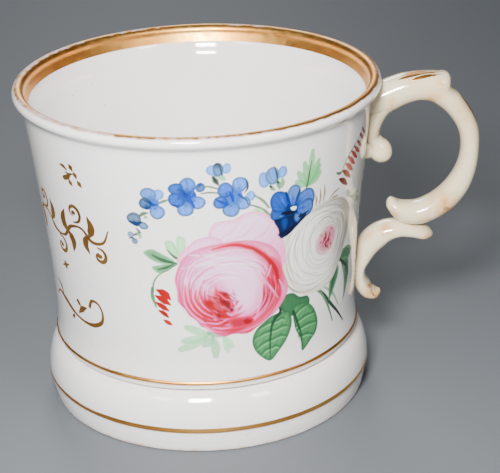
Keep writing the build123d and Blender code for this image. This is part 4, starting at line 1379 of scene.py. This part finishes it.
# third flower
petal((-99.7, 75.2), (1.6, 1.5), 30, sky, seen(150, 180, 212))
petal((-102.8, 75.2), (2.1, 1.8), 0, seen(150, 182, 220), seen(110, 138, 165), (-101.6, 73.0), mid_blue)
petal((-104.0, 72.4), (1.75, 1.7), 0, seen(120, 155, 200), seen(60, 92, 140), (-103.2, 71.0), deep_blue)
petal((-100.4, 70.2), (2.0, 2.1), -15, seen(160, 190, 224), seen(86, 116, 150), (-101.6, 72.4), mid_blue)
spray.stroke([(-104.8, 73.6), (-103.0, 73.0), (-101.4, 72.2), (-100.0, 72.4)], [0.2, 0.4, 0.4, 0.12],
             [slate, deep_blue, royal])
spray.stroke([(-103.8, 71.0), (-103.0, 71.2), (-102.2, 72.0)], [0.35, 0.35, 0.15], [deep_blue, royal])
# fourth flower
petal((-86.4, 77.2), (1.15, 1.4), -15, seen(130, 165, 215), seen(80, 110, 155), (-86.8, 78.0), royal)
petal((-90.3, 77.9), (2.1, 2.2), 5, seen(140, 178, 222), seen(90, 125, 170), (-90.8, 75.6), royal)
petal((-87.4, 73.0), (1.9, 1.9), -10, seen(158, 188, 226), seen(88, 124, 170), (-89.6, 74.4), mid_blue)
petal((-91.4, 71.2), (2.1, 2.1), 5, seen(150, 184, 224), seen(70, 110, 165), (-90.8, 73.8), mid_blue)
petal((-94.0, 76.9), (1.9, 1.7), 20, seen(96, 146, 214), seen(62, 96, 150), (-92.0, 76.2), royal)
petal((-94.0, 73.8), (2.2, 2.0), -30, seen(92, 144, 216), seen(60, 100, 165), (-92.0, 74.8), royal)
spray.stroke([(-94.8, 72.4), (-93.8, 71.9), (-93.2, 72.6)], [0.2, 0.4, 0.12], [deep_blue, royal])
spray.stroke([(-91.6, 76.2), (-91.2, 75.2), (-90.2, 74.6)], [0.35, 0.75, 0.4], [royal, seen(28, 78, 178)])
spray.stroke([(-90.2, 74.8), (-89.4, 73.4), (-88.6, 71.8)], [0.3, 0.42, 0.3], [seen(52, 104, 200), royal])
spray.stroke([(-93.0, 77.4), (-92.0, 76.4), (-91.2, 75.4)], [0.12, 0.34, 0.2], [royal, deep_blue])
spray.stroke([(-90.8, 79.6), (-90.4, 78.6), (-90.2, 77.6)], [0.1, 0.24, 0.1], [slate, mid_blue], cover=0.8)
spray.stroke([(-89.0, 77.6), (-88.6, 76.4), (-89.2, 75.2)], [0.12, 0.3, 0.15], [royal, mid_blue], cover=0.7)
# first bell
petal((-78.3, 82.0), (1.15, 1.5), -8, seen(176, 202, 232), seen(156, 186, 220))
petal((-82.8, 81.8), (1.35, 1.5), 12, seen(170, 198, 230), seen(150, 182, 216))
petal((-80.9, 81.9), (1.25, 2.0), 0, seen(150, 180, 212), seen(96, 122, 145), (-81.0, 83.6),
      seen(70, 92, 120))
spray.stroke([(-80.6, 83.4), (-80.0, 81.6), (-79.6, 80.0)], [0.2, 0.24, 0.2],
             [seen(80, 105, 130), seen(90, 125, 150)])
# fifth flower
petal((-74.2, 77.2), (2.0, 2.2), 10, seen(160, 190, 226), seen(110, 140, 176), (-75.0, 74.6), mid_blue)
petal((-70.8, 73.6), (1.3, 1.4), 0, seen(176, 202, 230), seen(160, 190, 218))
petal((-73.2, 71.8), (2.0, 1.9), -20, seen(160, 190, 226), seen(112, 145, 180), (-75.4, 73.2), mid_blue)
petal((-77.0, 70.4), (2.2, 2.2), 0, seen(148, 182, 222), seen(90, 124, 165), (-77.0, 72.8), mid_blue)
petal((-80.4, 72.6), (1.9, 1.8), -25, seen(110, 156, 218), seen(70, 108, 165), (-78.4, 72.2), royal)
petal((-78.8, 76.0), (2.0, 2.2), 0, seen(120, 164, 222), seen(78, 112, 155), (-78.0, 73.6), royal)
spray.stroke([(-81.8, 73.6), (-80.0, 72.7), (-78.0, 71.9)], [0.2, 0.42, 0.3], [royal, seen(48, 100, 196)])
spray.stroke([(-77.6, 75.6), (-76.8, 74.2), (-76.4, 72.8)], [0.14, 0.46, 0.3], [royal, seen(48, 98, 196)])
spray.stroke([(-74.6, 74.4), (-73.6, 73.6), (-72.0, 72.4), (-71.6, 71.2)], [0.28, 0.24, 0.2, 0.1],
             [royal, slate])
spray.stroke([(-72.6, 78.8), (-71.8, 77.2), (-71.8, 75.8), (-72.8, 74.6)], [0.12, 0.3, 0.28, 0.12],
             [slate, seen(60, 98, 150)])
# second bell
petal((-60.2, 78.6), (1.4, 1.7), -10, seen(170, 196, 226), seen(150, 180, 212))
petal((-66.4, 77.4), (1.5, 2.3), 12, seen(172, 198, 228), seen(146, 176, 210))
petal((-63.7, 78.2), (1.8, 2.5), 5, seen(158, 188, 220), seen(120, 150, 182))
spray.stroke([(-63.0, 80.6), (-62.2, 78.6), (-61.6, 76.0)], [0.12, 0.3, 0.2],
             [slate, seen(90, 118, 150), slate])
spray.stroke([(-65.2, 80.0), (-64.4, 78.2), (-63.6, 76.6)], [0.08, 0.16, 0.08],
             [seen(120, 150, 185), seen(130, 160, 195)], cover=0.7)
# the large flower
petal((-55.6, 71.4), (2.1, 2.9), -4, seen(150, 178, 218), seen(90, 120, 165), (-55.8, 68.6),
      seen(118, 156, 212))
petal((-50.6, 69.0), (3.0, 3.2), 20, seen(136, 168, 216), seen(60, 92, 150), (-54.0, 67.6), royal)
petal((-50.4, 66.6), (2.6, 2.5), 20, seen(130, 164, 214), seen(46, 70, 130), (-53.6, 67.0), mid_blue)
petal((-61.0, 67.4), (2.4, 2.6), -25, seen(82, 134, 206), seen(46, 92, 170), (-58.6, 66.6), deep_blue)
petal((-60.9, 70.4), (2.7, 3.1), 12, seen(78, 130, 208), seen(40, 88, 176), (-58.0, 68.2), royal)
spray.patch([(-62.6, 65.4), (-60.0, 65.4), (-57.4, 65.6), (-54.6, 65.6), (-52.0, 65.2), (-50.0, 64.4),
             (-52.4, 62.8), (-54.8, 61.4), (-57.0, 60.2), (-60.0, 59.6),
             (-61.0, 62.4)], seen(22, 44, 128), seen(18, 30, 98), 1.0, soft=0.3)
spray.patch([(-59.8, 65.2), (-58.0, 65.2), (-57.6, 63.0), (-58.8, 61.8), (-59.8, 63.2)], seen(44, 96, 184),
            seen(34, 76, 160), 0.7, soft=0.6)
spray.patch([(-54.8, 65.6), (-53.0, 65.4), (-52.7, 64.0), (-53.6, 63.2), (-54.9, 64.0)],
            seen(132, 164, 210), seen(86, 128, 190), 0.6, soft=0.5)
spray.stroke([(-60.6, 60.8), (-57.6, 61.0), (-54.6, 62.6)], [0.4, 0.8, 0.3], [navy, seen(12, 18, 78)],
             soft=0.5)
spray.stroke([(-59.4, 66.6), (-57.4, 66.5), (-55.2, 66.2)], [0.5, 0.72, 0.35], [navy, seen(16, 24, 92)])
spray.stroke([(-53.2, 64.6), (-51.2, 64.8), (-49.2, 65.4)], [0.25, 0.45, 0.15],
             [seen(20, 36, 96), seen(40, 64, 120)])
spray.stroke([(-58.6, 72.6), (-57.8, 70.6), (-56.6, 68.4)], [0.3, 0.46, 0.2], [deep_blue, seen(40, 92, 186)])
spray.stroke([(-53.4, 72.2), (-54.2, 70.2), (-55.0, 68.4)], [0.2, 0.42, 0.2], [seen(52, 92, 160), royal])
for path in ([(-54.4, 68.2), (-52.0, 69.6), (-49.8, 70.8)], [(-54.2, 67.6), (-51.4, 68.2), (-48.6, 68.4)],
             [(-54.2, 67.0), (-51.4, 66.8), (-49.0, 66.4)],
             [(-59.0, 68.4), (-61.2, 70.2), (-62.4, 72.0)], [(-58.6, 67.6), (-61.0, 68.2), (-63.0, 68.8)],
             [(-56.0, 68.8), (-56.2, 71.0), (-56.6, 73.0)]):
    spray.stroke(path, [0.14, 0.2, 0.06], [royal, mid_blue], soft=0.3, cover=0.7)
for path in ([(-60.4, 72.0), (-59.6, 70.2), (-58.6, 68.8)], [(-52.4, 69.0), (-50.4, 69.6), (-48.8, 69.8)],
             [(-60.8, 66.2), (-59.8, 66.0), (-59.2, 66.2)]):
    spray.stroke(path, [0.08, 0.3, 0.1], [seen(130, 170, 222), seen(110, 156, 216)], soft=0.4, cover=0.7)
spray.patch([(-56.6, 67.8), (-55.4, 68.0), (-54.3, 67.6), (-54.7, 66.9), (-55.8, 66.9)],
            seen(238, 238, 240), seen(226, 230, 238), 0.5, soft=0.3)

# %% [markdown]
# Short green touches join the flowers into one spray. Each is a single stroke that gets lighter
# towards its end, and three darker ones mark a stem in shade. They are cut with the leaves,
# because they are the same paint.

# %% Stems between the blue flowers
spray.motif = green_id
stems = [
    ([(-108.0, 65.0), (-107.0, 63.9), (-108.8, 63.1)], [0.2, 0.5, 0.35], seen(80, 135, 90)),
    ([(-107.6, 63.4), (-106.8, 62.8), (-107.2, 62.2)], [0.3, 0.5, 0.2], seen(176, 206, 180)),
    ([(-106.2, 68.8), (-105.0, 69.5), (-103.4, 69.8)], [0.35, 0.55, 0.2], seen(70, 132, 76)),
    ([(-104.9, 68.2), (-104.3, 68.6), (-103.9, 68.2)], [0.2, 0.45, 0.2], seen(160, 198, 166)),
    ([(-99.2, 72.9), (-98.0, 73.4), (-96.6, 73.8)], [0.34, 0.42, 0.2], seen(96, 150, 110)),
    ([(-85.4, 77.5), (-83.6, 77.3), (-81.2, 76.6)], [0.24, 0.3, 0.24], seen(116, 168, 116)),
    ([(-86.2, 75.5), (-83.8, 75.7), (-81.2, 75.4)], [0.2, 0.3, 0.24], seen(104, 158, 106)),
    ([(-82.4, 79.9), (-81.8, 78.9), (-80.9, 77.7)], [0.45, 0.8, 0.3], seen(52, 116, 66)),
    ([(-80.4, 79.6), (-79.6, 79.4), (-78.8, 79.0)], [0.4, 0.85, 0.3], seen(178, 210, 180)),
    ([(-69.6, 73.6), (-66.6, 71.6), (-64.6, 69.4)], [0.24, 0.4, 0.3], seen(130, 176, 128)),
    ([(-71.4, 71.2), (-68.2, 70.0), (-65.4, 68.2), (-64.0, 67.0)], [0.2, 0.3, 0.4, 0.24], seen(104, 156, 98)),
    ([(-69.6, 69.4), (-68.0, 69.2), (-66.4, 68.6)], [0.3, 0.5, 0.15], seen(196, 220, 196)),
    ([(-64.4, 75.4), (-63.6, 74.6), (-62.6, 74.0)], [0.3, 0.55, 0.25], seen(140, 190, 145)),
    ([(-62.0, 76.6), (-61.4, 75.4), (-61.0, 74.2)], [0.3, 0.7, 0.35], seen(130, 184, 136)),
    ([(-60.2, 76.6), (-59.9, 75.6), (-60.2, 74.4)], [0.35, 0.6, 0.3], seen(150, 198, 152)),
]
for path, width, colour in stems:
    spray.stroke(path, width, [colour, colour * 1.12], soft=0.3, cover=0.92)
for path in ([(-82.3, 79.8), (-81.7, 78.8), (-81.2, 78.0)], [(-64.4, 75.6), (-63.9, 75.1), (-63.6, 74.8)],
             [(-61.9, 76.2), (-61.5, 75.8), (-61.2, 75.8)]):
    spray.stroke(path, [0.16, 0.3, 0.12], [seen(28, 84, 44), seen(50, 108, 68)], soft=0.25)

# %% [markdown]
# Red buds hang in a row at the left of the spray and climb in another at its right. A loaded brush
# that is set down and lifted leaves a drop, so each bud is one short stroke with its own half
# width and red, and the buds get smaller towards the end of each row.

# %% Red buds
spray.motif = red_id
vermilion, rust = seen(204, 50, 22), seen(196, 62, 34)
low_buds = [
    ([(-103.0, 47.4), (-100.8, 46.6), (-98.4, 44.8)], 0.85, vermilion),
    ([(-103.6, 45.6), (-101.2, 44.6), (-98.6, 43.2)], 0.72, vermilion),
    ([(-103.6, 43.6), (-101.6, 42.6), (-99.4, 41.4)], 0.62, vermilion),
    ([(-102.8, 41.2), (-101.2, 40.6), (-99.6, 39.4)], 0.52, rust),
    ([(-101.2, 38.4), (-100.0, 37.9), (-98.6, 37.2)], 0.50, seen(205, 84, 40)),
]
high_buds = [
    ([(-34.6, 70.6), (-32.0, 69.4), (-29.0, 67.5)], 0.80, seen(168, 28, 14)),
    ([(-33.0, 72.6), (-30.4, 71.2), (-27.2, 69.2)], 0.80, seen(190, 34, 16)),
    ([(-31.2, 74.0), (-28.8, 72.6), (-25.8, 70.8)], 0.78, seen(206, 40, 18)),
    ([(-29.8, 75.6), (-27.4, 74.0), (-24.4, 72.2)], 0.72, seen(208, 42, 20)),
    ([(-27.8, 76.6), (-25.6, 75.2), (-22.6, 73.4)], 0.68, seen(206, 42, 20)),
    ([(-25.8, 77.4), (-23.6, 76.0), (-20.4, 74.4)], 0.62, seen(204, 44, 22)),
    ([(-23.8, 78.4), (-21.8, 77.2), (-18.8, 75.6)], 0.58, seen(200, 44, 24)),
    ([(-22.0, 80.0), (-20.2, 78.8), (-17.4, 77.2)], 0.52, seen(196, 46, 26)),
    ([(-20.2, 81.2), (-18.6, 80.0), (-16.4, 78.6)], 0.44, seen(192, 48, 28)),
]
for path, half, colour in low_buds:
    spray.stroke(path, [0.25, half * 1.25, half * 1.35, 0.3], [colour * 0.9, colour, colour * 1.05],
                 soft=0.25, hair=0.14)
for path, half, colour in high_buds:
    spray.stroke(path, [0.3, half * 1.0, half * 1.0, 0.32], [colour * 0.8, colour, colour * 1.05],
                 soft=0.22, hair=0.14)
spray.motif = green_id
spray.stroke([(-36.4, 72.8), (-34.6, 72.2), (-32.6, 72.6)], [0.3, 0.5, 0.2],
             [seen(120, 165, 120), seen(150, 180, 140)])
spray.stroke([(-33.0, 73.4), (-28.8, 76.6), (-23.8, 78.6), (-19.0, 81.0)], [0.18, 0.26, 0.22, 0.12],
             [seen(120, 150, 100), seen(150, 165, 110)])

# %% [markdown]
# Fired enamel stands a little proud of the glaze, and every motif is a node of its own. So each
# motif is cut from the canvas as a thin skin that carries its paint as a colour at every vertex.
# All six follow one recipe for the material: paint over the same glaze as the cup's.

# %% Cut the spray into its pieces
motif_pieces = [
    (green_id, "green_leaves", "green_enamel"),
    (pale_id, "pale_leaves", "pale_green_enamel"),
    (white_id, "white_rose", "white_enamel"),
    (pink_id, "pink_rose", "pink_enamel"),
    (blue_id, "blue_blossoms", "blue_enamel"),
    (red_id, "red_buds", "red_enamel"),
]


def enamel_material(name, roughness):
    """Fired enamel: the mesh's paint over the same glaze, less glassy where it's thick."""
    material, tree, shader = new_material(name)
    colour, glaze = ground_nodes(tree, white_body, white_drift, 0.4)
    paint = attribute_node(tree, "paint")
    tree.links.new(mix_node(tree, paint.outputs["Alpha"], colour, paint.outputs["Color"]),
                   shader.inputs["Base Color"])
    tree.links.new(remap_node(tree, paint.outputs["Alpha"], 0.0, 1.0, 0.12, roughness),
                   shader.inputs["Roughness"])
    shader.inputs["Specular IOR Level"].default_value = 0.35
    shader.inputs["Coat Weight"].default_value = 0.2
    shader.inputs["Coat Roughness"].default_value = 0.06
    bump_into(tree, shader, glaze.outputs["Height"], 0.0002, 0.12)
    return material


for motif, node, slot in motif_pieces:
    skin = enamel_skin(spray, motif, node + "_skin")
    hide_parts(node)
    skin.data.materials.append(enamel_material(slot, 0.26))

# %% [markdown]
# ## Gilt ornament
# The left side carries a gilt ornament: a small sprig at the top, a running vine in the middle, a
# star and a closing scroll. It's plain leaf-and-scroll work, brushed in gold like the lines.

# %% Gilt scrollwork
gilt_canvas = Canvas((-166.0, -115.5), (28.5, 82.5), 0.14)
gilt_canvas.motif = 1
gold_paint = np.array([1.0, 1.0, 1.0])


def gilt_line(path, width):
    """A gold brush line on the gilt canvas."""
    gilt_canvas.stroke(path, 1.3 * np.array(width), [gold_paint, gold_paint], soft=0.2, hair=0)


# sprig
for path, half in (([(-131.6, 79.4), (-131.0, 78.6), (-130.6, 78.0)], 0.62),
                   ([(-129.9, 77.4), (-129.5, 76.8), (-129.2, 76.2)], 0.55),
                   ([(-128.8, 75.2), (-128.2, 74.6), (-127.6, 74.0)], 0.58),
                   ([(-132.8, 74.8), (-132.5, 74.2), (-131.9, 73.6)], 0.52)):
    gilt_line(path, [0.2, half, 0.25])
gilt_line([(-136.4, 78.6), (-134.8, 78.4), (-133.2, 77.6)], [0.15, 0.42, 0.15])
gilt_line([(-135.2, 75.0), (-133.6, 75.5), (-131.8, 76.6)], [0.5, 0.55, 0.2])
gilt_line([(-134.4, 76.9), (-133.0, 76.6), (-130.4, 77.0)], [0.12, 0.26, 0.12])
# running vine: a wave, with a curl out of each bend and a round berry at the curl's eye
vine = [(-163.0, 57.0), (-158.0, 61.2), (-152.0, 60.8), (-146.8, 57.0), (-141.6, 56.8), (-136.4, 60.6),
        (-131.0, 61.2), (-126.0, 58.0), (-121.8, 58.6), (-118.8, 62.6)]
gilt_line(vine, [0.15, 0.42, 0.24, 0.46, 0.24, 0.46, 0.24, 0.42, 0.3, 0.12])
curls = [(-154.6, 64.6, 3.0, 1), (-144.4, 53.2, 2.8, -1), (-133.8, 65.2, 3.0, 1), (-123.8, 54.4, 2.5, -1)]
for azimuth, height, size, side in curls:
    turns = np.radians(np.linspace(-100, 250, 9))
    shrink = size * np.linspace(1.0, 0.34, 9)
    spiral = [(azimuth + r * math.cos(t) / gilt_canvas.scale, height + side * r * math.sin(t))
              for t, r in zip(turns, shrink)]
    gilt_line(spiral, [0.15, 0.34, 0.44, 0.34, 0.12])
    gilt_line([(azimuth - 0.2, height), (azimuth + 0.3, height)], [0.46, 0.46])
vine_leaves = [
    ([(-149.4, 59.4), (-147.6, 62.4), (-148.6, 65.6)], 0.95),
    ([(-139.4, 58.4), (-140.6, 61.8), (-139.0, 65.0)], 0.95),
    ([(-138.4, 59.0), (-136.4, 56.2), (-137.0, 53.0)], 0.90),
    ([(-128.6, 59.6), (-129.8, 56.8), (-128.4, 54.2)], 0.80),
    ([(-127.6, 59.2), (-126.0, 62.2), (-127.2, 65.4)], 0.90),
    ([(-159.6, 59.8), (-158.6, 56.6), (-160.0, 53.6)], 0.85),
]
for path, half in vine_leaves:
    gilt_line(path, [0.12, half, half, half * 0.7, 0.1])
# star
for lean in (20, 78, 135):
    reach = 2.0 if lean == 20 else 1.3
    offset = np.array([math.cos(math.radians(lean)) / gilt_canvas.scale,
                       math.sin(math.radians(lean))]) * reach
    centre = np.array([-144.5, 47.0])
    gilt_line([centre - offset, centre, centre + offset], [0.12, 0.38, 0.12])
# closing scroll
gilt_line([(-132.6, 37.4), (-131.2, 39.4), (-128.4, 39.4), (-126.3, 37.0), (-126.9, 34.0), (-130.4, 32.2),
           (-136.5, 31.8), (-143.0, 33.0), (-150.0, 35.4), (-155.2, 36.1), (-158.0, 34.4)],
           [0.42, 0.3, 0.25, 0.45, 0.5, 0.3, 0.3, 0.5, 0.55, 0.3, 0.15])
gilt_line([(-134.6, 36.4), (-137.0, 35.6), (-139.6, 33.8)], [0.15, 0.75, 0.2])
gilt_line([(-139.6, 37.3), (-138.8, 36.6)], [0.5, 0.45])
gilt_line([(-144.4, 31.2), (-143.6, 31.8)], [0.42, 0.36])
gilt_line([(-150.5, 35.2), (-152.6, 38.6), (-156.0, 39.6)], [0.12, 0.5, 0.15])

scroll_skin = enamel_skin(gilt_canvas, 1, "gilt_scrollwork_skin")
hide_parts("gilt_scrollwork")
scroll_skin.data.materials.append(gilding)
scroll_cover = np.empty(4 * len(scroll_skin.data.vertices), np.float32)
scroll_skin.data.attributes["paint"].data.foreach_get("color", scroll_cover)
mark(scroll_skin, "wear", 1.45 - 1.35 * np.clip(scroll_cover[3::4] * 1.6, 0, 1))

# %% [markdown]
# A closed skin whose faces look outward has a positive signed volume, so one sum per piece shows
# at once whether a skin was wound the wrong way.

# %% Check that the closed skins face outward
def enclosed_volume(piece):
    """Signed volume in cubic millimetres: a sixth of the sum of a . (b x c) over the triangles."""
    piece.data.calc_loop_triangles()
    corners = np.empty(3 * len(piece.data.loop_triangles), np.int32)
    piece.data.loop_triangles.foreach_get("vertices", corners)
    first, second, third = vertex_places(piece).astype(float)[corners.reshape(-1, 3)].transpose(1, 0, 2)
    return float(np.sum(first * np.cross(second, third)) / 6)


closed_skins = [cup_skin, foot_skin, loop_skin, bracket_skin, drop_skin, peg_skin, rim_gilt, waist_gilt,
                foot_gilt]
for piece in closed_skins:
    print(piece.name, "encloses", round(enclosed_volume(piece), 1), "mm3")
